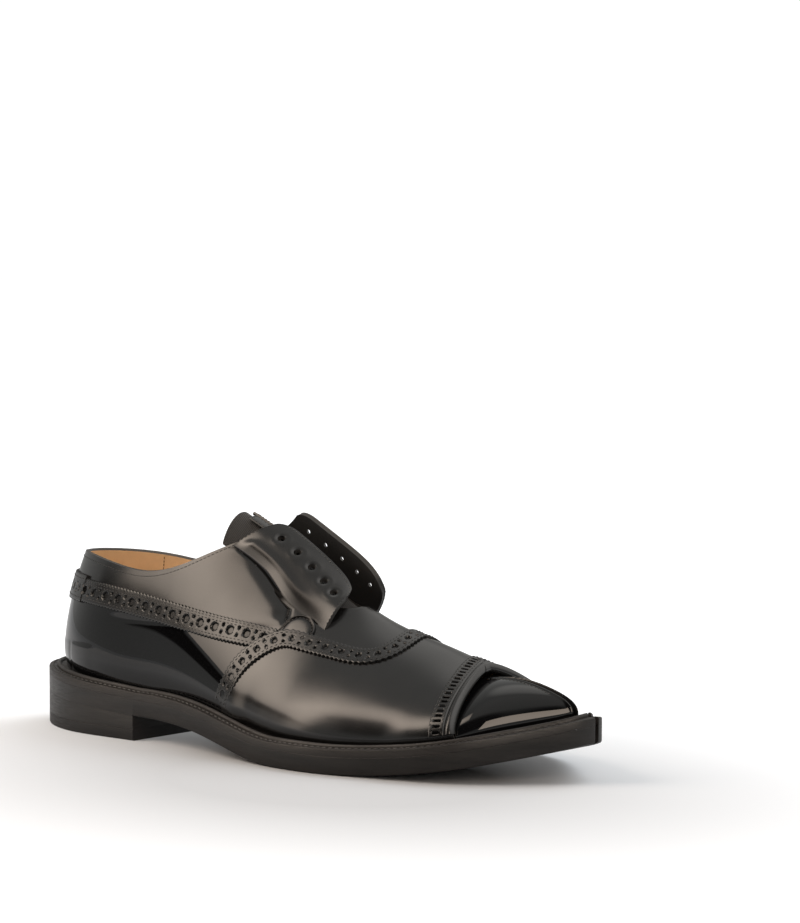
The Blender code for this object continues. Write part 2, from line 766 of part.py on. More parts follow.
def ribbon(name, turns, shares, half, finish):
    """Thin band along a path over the upper, held a gap off it."""
    builder = Builder()
    place, normal = surface(turns, shares, 0.0)
    along = np.gradient(place, axis=0)
    across = np.cross(normal, along)
    across /= np.linalg.norm(across, axis=-1, keepdims=True)
    small = 1e-3
    per_turn = (wall(turns + small, shares) - wall(turns - small, shares)) / (2 * small)
    per_share = (wall(turns, shares + small) - wall(turns, shares - small)) / (2 * small)
    offsets = np.linspace(-half, half, 3)
    skins = []
    for lift in (GAP, GAP + STRIP_THICK):
        rows = []
        for offset in offsets:
            step = np.array([
                np.linalg.lstsq(np.stack([a, b], -1), c * offset, rcond=None)[0]
                for a, b, c in zip(per_turn, per_share, across)
            ])
            reached = np.clip(shares + step[:, 1], STRIP_LOWEST, 2 - STRIP_LOWEST)
            points, _ = surface(turns + step[:, 0], reached, lift)
            rows.append(builder.add(points))
        skins.append(rows)
    low, high = skins
    for left, right in zip(low, low[1:]):
        builder.band(left, right)
    for left, right in zip(high, high[1:]):
        builder.band(right, left)
    builder.band(high[0], low[0])
    builder.band(low[-1], high[-1])
    for end in (0, -1):
        builder.band([r[end] for r in low], [r[end] for r in high])
    make_object(name, builder, finish)


def build_strips():
    finish = material("strip_leather", (0.014, 0.012, 0.011), 0.32)
    steps = np.linspace(0, 1, len(WING))
    at = np.linspace(0, 1, WING_ROWS)
    turns = cubic(steps, turn_of(column(WING, "station")))(at)
    shares = cubic(steps, column(WING, "share"))(at)
    turns = np.concatenate([turns, turns[::-1][1:]])
    shares = np.concatenate([shares, 2 - shares[::-1][1:]])
    ribbon("wing_strip", turns, shares, WING_STRIP_HALF, finish)
    height = cubic(column(QUARTER_STRIP, "station"), column(QUARTER_STRIP, "height"))
    end = float(turn_of(QUARTER_STRIP[-1].station))
    turns = np.linspace(-end, end, QUARTER_STRIP_ROWS)
    shares = np.array([share_at_height(turn, height(station_of(turn))) for turn in turns])
    ribbon("quarter_strip", turns, shares, QUARTER_STRIP_HALF, finish)
    spread = np.linspace(-1, 1, EDGE_STRIP_ROWS)
    shares = 1 + (1 - EDGE_STRIP_FOOT) * np.sign(spread) * np.abs(spread) ** CROWD
    lead = LATERAL_LEAD * np.clip(1 - shares, 0, 1) + MEDIAL_LEAD * np.clip(shares - 1, 0, 1)
    turns = turn_of(VAMP_FRONT - EDGE_STRIP_BACK + lead)
    ribbon("vamp_edge_strip", turns, shares, EDGE_STRIP_HALF, finish)


def turn_at_x(x, share, side):
    """Turn whose section passes a distance from the heel at a share up the wall."""
    turns = np.linspace(0.05, 0.45, 401)
    reach = wall(side * turns, np.full(turns.shape, share))[:, 0] + LENGTH / 2
    return side * float(np.interp(x, reach, turns))


def build_tongue():
    builder = Builder()
    shares = np.linspace(TONGUE_SHARE, 2 - TONGUE_SHARE, TONGUE_ROWS_ACROSS)
    steps = np.linspace(0, 1, TONGUE_ROWS)
    rises = (TONGUE_DEPTH - TONGUE_TOP_DEPTH) * np.clip(1 - steps / TONGUE_RISE, 0, 1)
    crown = 1 - ((shares - 1) / (1 - TONGUE_SHARE)) ** 4
    skins = []
    for extra in (0.0, TONGUE_THICK):
        grid = []
        for step, rise in zip(steps, rises):
            x = TONGUE_TOP + (TONGUE_FRONT - TONGUE_TOP) * step
            turns = np.array([turn_at_x(x, min(s, 2 - s), 1) for s in shares])
            lift = rise * crown - TONGUE_DEPTH - extra
            grid.append(surface(turns, shares, lift[:, None])[0])
        skins.append([builder.add(row) for row in grid])
    outer, inner = skins
    for left, right in zip(outer, outer[1:]):
        builder.band(left, right)
    for left, right in zip(inner, inner[1:]):
        builder.band(right, left)
    builder.band(inner[0], outer[0])
    builder.band(outer[-1], inner[-1])
    for end in (0, -1):
        builder.band([r[end] for r in outer], [r[end] for r in inner])
    make_object("tongue", builder, material("tongue_cloth", (0.016, 0.015, 0.015), 0.7))


for old in list(bpy.data.objects):
    bpy.data.objects.remove(old)
SHOE = bpy.data.objects.new("shoe", None)
bpy.context.scene.collection.objects.link(SHOE)

NOTCH = notch_cutter()
build_outsole(NOTCH)
build_heel()
build_welt(NOTCH)
build_insole()
build_upper()
build_toe()
build_strips()
build_tongue()
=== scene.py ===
"""Looks of the split-toe derby, right shoe: fine skins over the solids, materials, light and camera."""

from collections import namedtuple

import bmesh
import bpy
import numpy as np
from mathutils import Matrix, Quaternion, Vector
from mathutils.bvhtree import BVHTree


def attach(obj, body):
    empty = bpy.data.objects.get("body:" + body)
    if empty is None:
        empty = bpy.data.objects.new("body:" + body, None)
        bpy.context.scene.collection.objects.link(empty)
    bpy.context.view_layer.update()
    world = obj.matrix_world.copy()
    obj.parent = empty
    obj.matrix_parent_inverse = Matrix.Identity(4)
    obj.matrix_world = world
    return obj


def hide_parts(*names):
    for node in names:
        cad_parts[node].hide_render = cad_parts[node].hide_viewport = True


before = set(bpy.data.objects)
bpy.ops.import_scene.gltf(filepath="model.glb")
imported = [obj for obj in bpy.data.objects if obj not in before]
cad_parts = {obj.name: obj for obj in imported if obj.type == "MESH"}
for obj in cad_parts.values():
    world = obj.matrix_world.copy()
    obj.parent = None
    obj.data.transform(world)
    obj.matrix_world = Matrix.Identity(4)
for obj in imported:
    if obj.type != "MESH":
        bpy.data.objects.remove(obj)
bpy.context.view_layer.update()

MM = 0.001
BODY = "root"


def table(columns, *rows):
    """Rows of numbers with named columns."""
    row = namedtuple("Row", columns)
    return [row(*values) for values in rows]


# Sizes of the part, in millimetres, as its source has them
GAP = 0.3
FOOT_GAP = 0.7
LENGTH = 300.0
BREAST = 0.263
CONTACT_START = 0.575
CONTACT_END = 0.655
TOE_SPRING = 16.0
BREAST_RISE = 10.8
ARCH_SWELL = 1.9
SEAT_PITCH = 5.2
WELT_THICK = 3.2
OUTSOLE_THICK = 7.3
TOP_LIFT = 5.0
WELT_WIDTH = 6.0
BEAD_HEIGHT = 1.5
BEAD_FOOT = 3.6
BEAD_WIDTH = 1.9
WALL = 2.2
TOE_WALL = 1.8
TOE_INSET = 9.2
TIP_LEDGE = 0.8
TIP_LEDGE_START = 0.85
HEEL_LEDGE = 1.5
HEEL_LEDGE_END = 0.22
TIP_OFFSET = 1.5
SOLE_EDGE = OUTSOLE_THICK + GAP + WELT_THICK

OUTLINE = table(
    "station lateral medial",
    (0.10, 32.0, 32.5),
    (0.22, 37.0, 35.0),
    (0.40, 43.5, 37.5),
    (0.55, 53.5, 45.5),
    (0.66, 56.0, 51.0),
    (0.78, 49.5, 48.5),
    (0.90, 34.0, 31.5),
    (0.97, 14.5, 13.0),
)
RIDGE = table(
    "x vamp toe vamp_y toe_y",
    (45, 112.0, 112.0, 2.0, 2.0),
    (80, 109.0, 109.0, 2.5, 2.5),
    (110, 101.0, 101.0, 3.6, 3.0),
    (130, 91.0, 90.0, 4.8, 3.5),
    (152, 78.0, 77.0, 5.9, 4.0),
    (175, 64.2, 62.0, 6.2, 4.0),
    (187, 58.6, 56.0, 6.2, 4.0),
    (199, 54.6, 50.5, 6.0, 3.5),
    (220, 49.4, 38.6, 5.6, 4.5),
    (241, 43.2, 37.8, 5.2, 3.9),
    (262, 38.2, 38.6, 5.0, 3.8),
    (282, 34.2, 34.6, 4.8, 3.2),
)
SECTION = table(
    "station lean side top",
    (0.00, 0.040, 0.33, 0.42),
    (0.15, 0.045, 0.38, 0.49),
    (0.30, 0.060, 0.44, 0.55),
    (0.50, 0.080, 0.42, 0.27),
    (0.62, 0.070, 0.41, 0.25),
    (0.74, 0.055, 0.38, 0.22),
    (0.85, 0.045, 0.40, 0.34),
    (1.00, 0.045, 0.40, 0.36),
)
TOE_SECTION = table(
    "station lean side top",
    (0.74, 0.030, 0.28, 0.18),
    (0.82, 0.040, 0.27, 0.14),
    (0.87, 0.050, 0.38, 0.42),
    (0.93, 0.065, 0.54, 0.44),
    (1.00, 0.080, 0.50, 0.57),
)
COLLAR = table(
    "x height",
    (5, 78.0),
    (34, 77.5),
    (55, 75.2),
    (76, 73.4),
    (94, 77.0),
    (111, 84.5),
    (119, 88.3),
    (132, 94.0),
)
THROAT = table(
    "x lateral medial",
    (118, 12.0, 10.5),
    (135, 13.0, 11.0),
    (148, 15.0, 12.5),
    (158, 16.0, 13.5),
    (168, 13.0, 12.0),
    (175, 7.0, 7.0),
    (178, 0.0, 0.0),
)
FACING_COLUMNS = "station root_z edge_x edge_y edge_z"
FACING_LATERAL = table(
    FACING_COLUMNS,
    (0.345, 86.5, 131.5, 6.5, 95.5),
    (0.410, 77.0, 150.0, 6.5, 84.8),
    (0.472, 65.0, 166.0, 5.2, 74.3),
    (0.553, 54.5, 172.3, 1.5, 68.0),
)
FACING_MEDIAL = table(
    FACING_COLUMNS,
    (0.335, 87.0, 133.0, 15.0, 101.2),
    (0.395, 77.5, 153.5, 14.5, 90.3),
    (0.455, 66.5, 170.5, 14.5, 80.0),
    (0.540, 56.0, 176.5, 17.5, 70.5),
)
FACING_THICK = 2.0
FACING_ROOT_DEPTH = 0.8
FACING_BULGE = 3.0
FACING_CORNER_ALONG = 0.12
FACING_CORNER_ACROSS = 0.20
INSTEP_SLOPE = (0.83, 0.0, -0.55)
EYELETS = 5
EYELET_RADIUS = 1.7
EYELET_LINE = 0.62
EYELET_FIRST = 0.15
EYELET_LAST = 0.83
CLEFT_START = 232.0
CLEFT_FULL = 262.0
CLEFT_DEPTH = 6.0
CLEFT_HALF = 2.4
NOTCH_LENGTH = 20.0
NOTCH_MOUTH = 2.6
NOTCH_END = 0.8
VAMP_FRONT = 0.833
LATERAL_LEAD = 0.030
MEDIAL_LEAD = 0.042
LEAD_START = 0.62
EDGE_STRIP_BACK = 0.0235
TOE_BACK = 0.800
WING = table(
    "station share",
    (0.443, 0.06),
    (0.456, 0.191),
    (0.470, 0.315),
    (0.503, 0.470),
    (0.540, 0.528),
    (0.590, 0.566),
    (0.640, 0.598),
    (0.668, 0.665),
    (0.679, 0.790),
    (0.675, 1.00),
)
QUARTER_STRIP = table(
    "station height",
    (0.000, 62.5),
    (0.142, 61.5),
    (0.281, 57.5),
    (0.379, 53.6),
    (0.448, 51.3),
)
QUARTER_STRIP_HALF = 5.3
WING_STRIP_HALF = 4.6
EDGE_STRIP_HALF = 6.0
EDGE_STRIP_FOOT = 0.08
CROWD = 1.35
TONGUE_TOP = 110.0
TONGUE_FRONT = 190.0
TONGUE_TOP_DEPTH = 1.5
TONGUE_DEPTH = 3.6
TONGUE_RISE = 0.35
TONGUE_THICK = 2.4
TONGUE_SHARE = 0.70


# Curves and the surface of the last


def cubic(knots, values):
    """Natural cubic spline through the knots."""
    x = np.asarray(knots, float)
    y = np.asarray(values, float)
    step = np.diff(x)
    count = len(x)
    matrix = np.eye(count)
    right = np.zeros(count)
    for i in range(1, count - 1):
        matrix[i, i - 1 : i + 2] = step[i - 1], 2 * (step[i - 1] + step[i]), step[i]
        right[i] = 6 * ((y[i + 1] - y[i]) / step[i] - (y[i] - y[i - 1]) / step[i - 1])
    bend = np.linalg.solve(matrix, right)

    def value(at):
        at = np.asarray(at, float)
        i = np.clip(np.searchsorted(x, at) - 1, 0, count - 2)
        d = step[i]
        a = (x[i + 1] - at) / d
        b = (at - x[i]) / d
        curve = (bend[i] * (a**3 - a) + bend[i + 1] * (b**3 - b)) * d**2 / 6
        return a * y[i] + b * y[i + 1] + curve

    return value


def column(rows, name):
    return [getattr(row, name) for row in rows]


def curves_of(rows, knots, *names):
    return [cubic(column(rows, knots), column(rows, name)) for name in names]


def width_curve(side):
    station = np.array(column(OUTLINE, "station"))
    fullness = np.array(column(OUTLINE, side)) / np.sqrt(station * (1 - station))
    return cubic([0.0, *station, 1.0], [fullness[0], *fullness, fullness[-1]])


LATERAL_WIDTH = width_curve("lateral")
MEDIAL_WIDTH = width_curve("medial")
VAMP_RIDGE, TOE_RIDGE, VAMP_RIDGE_Y, TOE_RIDGE_Y = curves_of(RIDGE, "x", "vamp", "toe", "vamp_y", "toe_y")
VAMP_CURVES = curves_of(SECTION, "station", "lean", "side", "top")
TOE_CURVES = curves_of(TOE_SECTION, "station", "lean", "side", "top")
(COLLAR_HEIGHT,) = curves_of(COLLAR, "x", "height")
(QUARTER_HEIGHT,) = curves_of(QUARTER_STRIP, "station", "height")


def ease(value):
    u = np.clip(value, 0, 1)
    return u * u * (3 - 2 * u)


def rises(value, start, over):
    """0 up to a start, easing to 1."""
    return ease((value - start) / over)


def falls(value, end, over):
    """Easing from 1 to 0 at an end."""
    return ease((end - value) / over)


def bell(value, width):
    return np.exp(-((value / width) ** 2))


def unit(vectors):
    return vectors / (np.linalg.norm(vectors, axis=-1, keepdims=True) + 1e-12)


def on_side(vector, side):
    """A direction as on the lateral side, 1, or mirrored for the medial side, -1."""
    return np.array(vector) * (1, side, 1)


def station_of(turn):
    """Station along the foot for a turn: 0 at the heel, 0.5 at the toe, positive along the lateral side."""
    return (1 - np.cos(2 * np.pi * np.asarray(turn, float))) / 2


def turn_of(station):
    return np.arccos(1 - 2 * np.asarray(station, float)) / (2 * np.pi)


def raw_outline(turn):
    turn = np.asarray(turn, float)
    t = station_of(turn)
    side = np.sin(2 * np.pi * turn)
    half = np.where(side > 0, LATERAL_WIDTH(t), MEDIAL_WIDTH(t))
    return np.stack([LENGTH * t, TIP_OFFSET * t**3 - side / 2 * half], -1)


SOLE_Y = raw_outline(np.linspace(-0.5, 0.5, 4001))[:, 1]
MIDDLE_Y = (SOLE_Y.min() + SOLE_Y.max()) / 2


def outward(turn):
    """Level unit normal of the outline."""
    small = 1e-4
    along = raw_outline(np.asarray(turn) + small) - raw_outline(np.asarray(turn) - small)
    along /= np.linalg.norm(along, axis=-1, keepdims=True)
    return np.stack([along[..., 1], -along[..., 0]], -1)


def outline(turn, inset):
    place = raw_outline(turn) - outward(turn) * np.asarray(inset, float)[..., None]
    return place - np.array([LENGTH / 2, MIDDLE_Y])


def sole_bottom(station):
    """Underside of the outsole: heel seat, arch, flat tread and toe spring."""
    t = np.asarray(station, float)
    seat = BREAST_RISE + SEAT_PITCH * (BREAST - t) / BREAST
    u = np.clip((CONTACT_START - t) / (CONTACT_START - BREAST), 0, 1)
    arch = BREAST_RISE * (3 * u**2 - 2 * u**3) + ARCH_SWELL * 16 * u**2 * (1 - u) ** 2
    spring = TOE_SPRING * (np.clip(t - CONTACT_END, 0, None) / (1 - CONTACT_END)) ** 2
    return np.where(t < BREAST, seat, arch + spring)


def upper_inset(station):
    return WELT_WIDTH + HEEL_LEDGE * ease(1 - np.asarray(station, float) / HEEL_LEDGE_END)


def toe_inset(station):
    tip = (np.asarray(station, float) - TIP_LEDGE_START) / (1 - TIP_LEDGE_START)
    return TOE_INSET + TIP_LEDGE * ease(tip)


def ridge_place(station, ridge, sideways):
    first, last = RIDGE[0].x, RIDGE[-1].x
    x = first + (last - first) * np.asarray(station, float)
    slope = ridge(x + 0.5) - ridge(x - 0.5)
    return np.stack([x - LENGTH / 2, sideways(x), ridge(x)], -1), slope


def wall(turn, share, inset=upper_inset, ridge=VAMP_RIDGE, sideways=VAMP_RIDGE_Y, curves=VAMP_CURVES):
    """The last's surface: share 0 on the sole, 1 on the top line, and up to 2 down the other side."""
    turn, share = np.broadcast_arrays(np.asarray(turn, float), np.asarray(share, float))
    over = share > 1
    turn = np.where(over, -turn, turn)
    share = np.where(over, 2 - share, share)
    t = station_of(turn)
    foot_z = sole_bottom(t) + SOLE_EDGE + FOOT_GAP
    foot = np.concatenate([outline(turn, inset(t)), foot_z[..., None]], -1)
    top, slope = ridge_place(t, ridge, sideways)
    rise = (top - foot)[..., 2:]
    level = (foot - top)[..., :2]
    reach = np.linalg.norm(level, axis=-1, keepdims=True)
    across = level / reach
    lean, side, pull = (curve(t)[..., None] for curve in curves)
    low = foot + np.concatenate([outward(turn) * lean * rise, side * rise], -1)
    fall = slope[..., None] * across[..., :1]
    high = top + pull * reach * np.concatenate([across, fall], -1)
    s = share[..., None]
    return (1 - s) ** 3 * foot + 3 * (1 - s) ** 2 * s * low + 3 * (1 - s) * s**2 * high + s**3 * top


SMALL = 1e-3


def surface(turn, share, lift):
    """Point on the upper, lifted along its outward normal, with that normal."""
    turn, share = np.broadcast_arrays(np.asarray(turn, float), np.asarray(share, float))
    along = wall(turn + SMALL, share) - wall(turn - SMALL, share)
    up = wall(turn, share + SMALL) - wall(turn, share - SMALL)
    normal = np.cross(along, up)
    normal /= np.linalg.norm(normal, axis=-1, keepdims=True)
    return wall(turn, share) + normal * np.asarray(lift, float)[..., None], normal


def share_at_height(turn, height):
    shares = np.linspace(0, 1, 161)
    return float(np.interp(height, wall(turn, shares)[:, 2], shares))


def in_opening(points):
    x = points[..., 0] + LENGTH / 2
    offset = points[..., 1] - VAMP_RIDGE_Y(x)
    lateral = np.interp(x, column(THROAT, "x"), column(THROAT, "lateral"))
    medial = np.interp(x, column(THROAT, "x"), column(THROAT, "medial"))
    throat = (offset > -lateral) & (offset < medial) & (x > THROAT[0].x)
    collar = (points[..., 2] > COLLAR_HEIGHT(x)) & (x < COLLAR[-1].x)
    return throat | collar


def rim_share(turn):
    shares = np.linspace(0.3, 1, 1401)
    inside = in_opening(wall(turn, shares))
    return float(shares[inside.argmax()]) if inside.any() else 1.0


def led(turn, shares):
    """Turns of a section whose foot leads its top, more and more towards the vamp's front edge."""
    side = 1 if turn >= 0 else -1
    station = float(station_of(turn))
    lead = LATERAL_LEAD if side > 0 else MEDIAL_LEAD
    grown = lead * rises(station, LEAD_START, VAMP_FRONT - LEAD_START)
    return side * turn_of(station + grown * (1 - shares))


def cosine_stations(first, last, count):
    return first + (last - first) * (1 - np.cos(np.linspace(0, np.pi, count))) / 2


def grid_normals(grid):
    return unit(np.cross(np.gradient(grid, axis=0), np.gradient(grid, axis=1)))


def run_along(points):
    """Length of a polyline up to each of its points."""
    return np.concatenate([[0], np.cumsum(np.linalg.norm(np.diff(points, axis=0), axis=1))])


def along_line(points, pitch):
    """Evenly spaced places along a polyline: index positions as floats."""
    length = run_along(points)
    count = max(2, int(round(length[-1] / pitch)) + 1)
    return np.interp(np.linspace(0, length[-1], count), length, np.arange(len(points)))


def sampled(values, at):
    """Values of a polyline's table at float indices."""
    low = np.clip(at.astype(int), 0, len(values) - 2)
    part = (at - low)[:, None]
    return values[low] * (1 - part) + values[low + 1] * part


def line_distance(points, line, up):
    """Distance from each point to a polyline, how far along it the nearest place is, and to which side."""
    best = np.full(points.shape[:-1], 1e9)
    where = np.zeros(points.shape[:-1])
    beside = np.zeros(points.shape[:-1])
    count = len(line) - 1
    for i in range(count):
        a = line[i]
        d = line[i + 1] - a
        f = np.clip(((points - a) @ d) / (d @ d), 0, 1)
        gap = np.linalg.norm(points - a - f[..., None] * d, axis=-1)
        closer = gap < best
        best = np.where(closer, gap, best)
        where = np.where(closer, (i + f) / count, where)
        beside = np.where(closer, (points - a) @ np.cross(up, unit(d)), beside)
    return best, where, beside


# Meshes


class Mesh:
    """Points in millimetres, quads, material numbers and one mark per point, which is painted shade where
    it is not 0.
    """

    def __init__(self):
        self.points = []
        self.marks = []
        self.quads = []
        self.slots = []
        self.count = 0

    def add(self, points, mark=0.0):
        flat = np.asarray(points, float).reshape(-1, 3)
        self.points.append(flat)
        self.marks.append(np.broadcast_to(np.asarray(mark, float), np.shape(points)[:-1]).reshape(-1))
        first = self.count
        self.count += len(flat)
        return np.arange(first, self.count).reshape(np.shape(points)[:-1])

    def sew(self, numbers, slot=0, flip=False):
        quads = np.stack([numbers[:-1, :-1], numbers[1:, :-1], numbers[1:, 1:], numbers[:-1, 1:]], -1)
        quads = quads.reshape(-1, 4)
        self.quads.append(quads[:, ::-1] if flip else quads)
        self.slots.append(np.broadcast_to(np.asarray(slot), numbers[1:, 1:].shape).reshape(-1))

    def grid(self, points, mark=0.0, slot=0, flip=False):
        numbers = self.add(points, mark)
        self.sew(numbers, slot, flip)
        return numbers

    def make(self, name, materials, turn_out=True, sharp=0.7):
        mesh = bpy.data.meshes.new(name)
        points = np.concatenate(self.points) * MM
        quads = np.concatenate(self.quads)
        mesh.from_pydata(points.tolist(), [], quads.tolist())
        mark = mesh.attributes.new("mark", "FLOAT", "POINT")
        mark.data.foreach_set("value", np.concatenate(self.marks).astype(np.float32))
        mesh.polygons.foreach_set("material_index", np.concatenate(self.slots).astype(np.int32))
        edit = bmesh.new()
        edit.from_mesh(mesh)
        bmesh.ops.remove_doubles(edit, verts=edit.verts, dist=2e-6)
        bmesh.ops.dissolve_degenerate(edit, edges=edit.edges, dist=1e-6)
        if turn_out:
            bmesh.ops.recalc_face_normals(edit, faces=edit.faces)
        edit.to_mesh(mesh)
        edit.free()
        for one in materials:
            mesh.materials.append(one)
        smooth(mesh, sharp)
        made = bpy.data.objects.new(name, mesh)
        bpy.context.scene.collection.objects.link(made)
        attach(made, BODY)
        return made


def smooth(mesh, sharp):
    """Shades a mesh smooth, but for edges sharper than an angle."""
    mesh.shade_smooth()
    mesh.set_sharp_from_angle(angle=sharp)


def stands_for(made, node=None):
    """Hides the solid that a piece replaces, if it names one."""
    if node:
        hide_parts(node)


def thick_sheet(mesh, outer, inner, mark, slots, round_edge):
    """Closed sheet from an outer and an inner grid, with its border sewn and rounded."""
    top = mesh.grid(outer, mark, slots[0])
    low = mesh.grid(inner, mark, slots[1], flip=True)

    def border(numbers):
        return np.concatenate([numbers[:-1, 0], numbers[-1, :-1], numbers[:0:-1, -1], numbers[0, :0:-1]])

    edge = border(np.arange(top.size).reshape(top.shape))
    a = outer.reshape(-1, 3)[edge]
    b = inner.reshape(-1, 3)[edge]
    along = unit(np.roll(a, -1, 0) - np.roll(a, 1, 0))
    out = np.cross(along, unit(a - b))
    crest = mesh.add((a + b) / 2 + out * round_edge)
    rings = np.stack([border(top), crest, border(low)])
    mesh.sew(np.concatenate([rings, rings[:, :1]], axis=1), slots[2])


def cut(made, cutter, sharp):
    """Cuts a piece with a tool, which is used up."""
    modifier = made.modifiers.new("cut", "BOOLEAN")
    modifier.operation = "DIFFERENCE"
    modifier.object = cutter
    modifier.solver = "EXACT"
    graph = bpy.context.evaluated_depsgraph_get()
    graph.update()
    mesh = bpy.data.meshes.new_from_object(made.evaluated_get(graph))
    old = made.data
    made.modifiers.clear()
    made.data = mesh
    bpy.data.meshes.remove(old)
    bpy.data.objects.remove(cutter)
    smooth(mesh, sharp)


def skin_of(*pieces):
    """Tree for casting rays on finished pieces."""
    points = []
    faces = []
    for piece in pieces:
        first = len(points)
        points.extend(vertex.co.copy() for vertex in piece.data.vertices)
        faces.extend([first + number for number in face.vertices] for face in piece.data.polygons)
    return BVHTree.FromPolygons(points, faces)


def drape(skin, points, way, reach=12.0):
    """Points carried along a direction on to a skin, in millimetres; a miss stays where it was."""
    flat = np.asarray(points, float).reshape(-1, 3)
    down = Vector(way)
    found = []
    for one in flat:
        start = Vector(one * MM) - down * reach * MM
        hit = skin.ray_cast(start, down, 2 * reach * MM)[0]
        found.append(one if hit is None else np.array(hit) / MM)
    return np.array(found).reshape(np.shape(points))


# Materials


class Graph:
    """Short calls for the nodes of a tree."""

    def __init__(self, tree):
        self.tree = tree

    def feed(self, value, socket):
        """Links an output to a socket, or sets the socket's own value."""
        if isinstance(value, bpy.types.NodeSocket):
            self.tree.links.new(value, socket)
        else:
            socket.default_value = value

    def node(self, kind, *values, operation=None, **named):
        """New node with its inputs fed in order and by name."""
        made = self.tree.nodes.new("ShaderNode" + kind)
        if operation:
            made.operation = operation
        for value, socket in zip(values, made.inputs):
            self.feed(value, socket)
        for name, value in named.items():
            self.feed(value, made.inputs[name.replace("_", " ")])
        return made

    def math(self, operation, *values):
        return self.node("Math", *values, operation=operation).outputs["Value"]

    def vector(self, operation, *values, **named):
        made = self.node("VectorMath", *values, operation=operation, **named)
        return made.outputs["Value" if operation in ("DOT_PRODUCT", "DISTANCE") else "Vector"]

    def ramp(self, value, low, high, first=0.0, last=1.0):
        made = self.node("MapRange", Value=value, From_Min=low, From_Max=high, To_Min=first, To_Max=last)
        return made.outputs["Result"]


def tinted(colour, share):
    return tuple(share * c for c in colour)


class Nodes(Graph):
    """A Principled material."""

    def __init__(self, name, colour, roughness, specular=0.5):
        self.material = bpy.data.materials.new(name)
        self.material.use_nodes = True
        super().__init__(self.material.node_tree)
        self.shader = self.tree.nodes["Principled BSDF"]
        self.set("Base Color", (*colour, 1.0))
        self.set("Roughness", roughness)
        self.set("Specular IOR Level", specular)
        self.place = self.node("TexCoord").outputs["Object"]
        self.normal = None

    def set(self, socket, value):
        self.feed(value, self.shader.inputs[socket])

    def noise(self, scale, detail=2.0, roughness=0.5, vector=None):
        place = vector or self.place
        made = self.node("TexNoise", Vector=place, Scale=scale, Detail=detail, Roughness=roughness)
        return made.outputs["Fac"]

    def scaled(self, scale):
        return self.node("Mapping", Vector=self.place, Scale=scale).outputs["Vector"]

    def mix(self, factor, first, second):
        made = self.node("Mix")
        made.data_type = "RGBA"
        inputs = {socket.identifier: socket for socket in made.inputs}
        self.feed(factor, inputs["Factor_Float"])
        for name, value in (("A_Color", first), ("B_Color", second)):
            self.feed((*value, 1.0) if isinstance(value, tuple) else value, inputs[name])
        return next(one for one in made.outputs if one.identifier == "Result_Color")

    def mark(self):
        made = self.node("Attribute")
        made.attribute_name = "mark"
        return made.outputs["Fac"]

    def bump(self, height, strength, distance):
        made = self.node("Bump", Height=height, Strength=strength, Distance=distance)
        if self.normal is not None:
            self.feed(self.normal, made.inputs["Normal"])
        self.normal = made.outputs["Normal"]
        self.set("Normal", self.normal)


def calf(name, colour, roughness, grain, wave):
    """Polished calf: faint pores, soft waves in the reflection, darker and less glossy where marked, which
    is painted shade in seams, creases, holes and grooves.
    """
    n = Nodes(name, colour, roughness)
    pores = n.node("TexVoronoi", Vector=n.place, Scale=1100.0)
    pores.feature = "DISTANCE_TO_EDGE"
    n.bump(n.ramp(pores.outputs["Distance"], 0.0, 0.2), grain, 0.00003)
    n.bump(n.noise(300.0), grain * 0.6, 0.00006)
    n.bump(n.noise(45.0, 1.0), wave, 0.0006)
    n.set("Roughness", n.ramp(n.noise(90.0), 0.3, 0.7, roughness * 0.9, roughness * 1.12))
    tone = n.mix(n.noise(70.0), colour, tinted(colour, 1.5))
    n.set("Base Color", n.mix(n.mark(), tone, (0.0015, 0.0014, 0.0014)))
    n.set("Specular IOR Level", n.ramp(n.mark(), 0.0, 1.0, 0.6, 0.02))
    return n.material


def patent(name, colour, roughness=0.035):
    """Mirror-gloss leather with a very slow wave, dull where marked, which is painted shade in the toe's
    cleft.
    """
    n = Nodes(name, colour, roughness)
    n.bump(n.noise(38.0, 1.0), 0.10, 0.0006)
    n.set("Base Color", n.mix(n.noise(30.0), colour, tinted(colour, 1.4)))
    n.set("Specular IOR Level", n.ramp(n.mark(), 0.0, 1.0, 0.44, 0.05))
    n.set("Roughness", n.ramp(n.mark(), 0.0, 1.0, roughness, 0.4))
    return n.material


def sole_leather(name, colour, roughness):
    """Burnished sole edge: fine streaks along the foot and worn, lighter patches."""
    n = Nodes(name, colour, roughness)
    streak = n.noise(1.0, 4.0, 0.6, n.scaled((160.0, 160.0, 2600.0)))
    n.bump(streak, 0.25, 0.00012)
    n.bump(n.noise(900.0, 3.0), 0.25, 0.00008)
    worn = n.noise(1.0, 4.0, 0.65, n.scaled((30.0, 30.0, 300.0)))
    n.set("Base Color", n.mix(n.ramp(worn, 0.35, 0.75), colour, tinted(colour, 2.2)))
    n.set("Roughness", n.ramp(streak, 0.3, 0.7, roughness * 0.8, roughness * 1.3))
    return n.material


def lining_leather(name, colour):
    n = Nodes(name, colour, 0.55)
    n.bump(n.noise(700.0, 4.0), 0.35, 0.0001)
    n.set("Base Color", n.mix(n.noise(120.0, 5.0, 0.65), tinted(colour, 0.8), tinted(colour, 1.15)))
    return n.material


def suede(name, colour):
    """Flesh side of the black leather."""
    n = Nodes(name, colour, 0.85, specular=0.2)
    n.set("Sheen Weight", 0.05)
    n.bump(n.noise(1300.0, 4.0, 0.7), 0.6, 0.00015)
    n.set("Base Color", n.mix(n.noise(200.0, 4.0), tinted(colour, 0.6), tinted(colour, 1.6)))
    return n.material


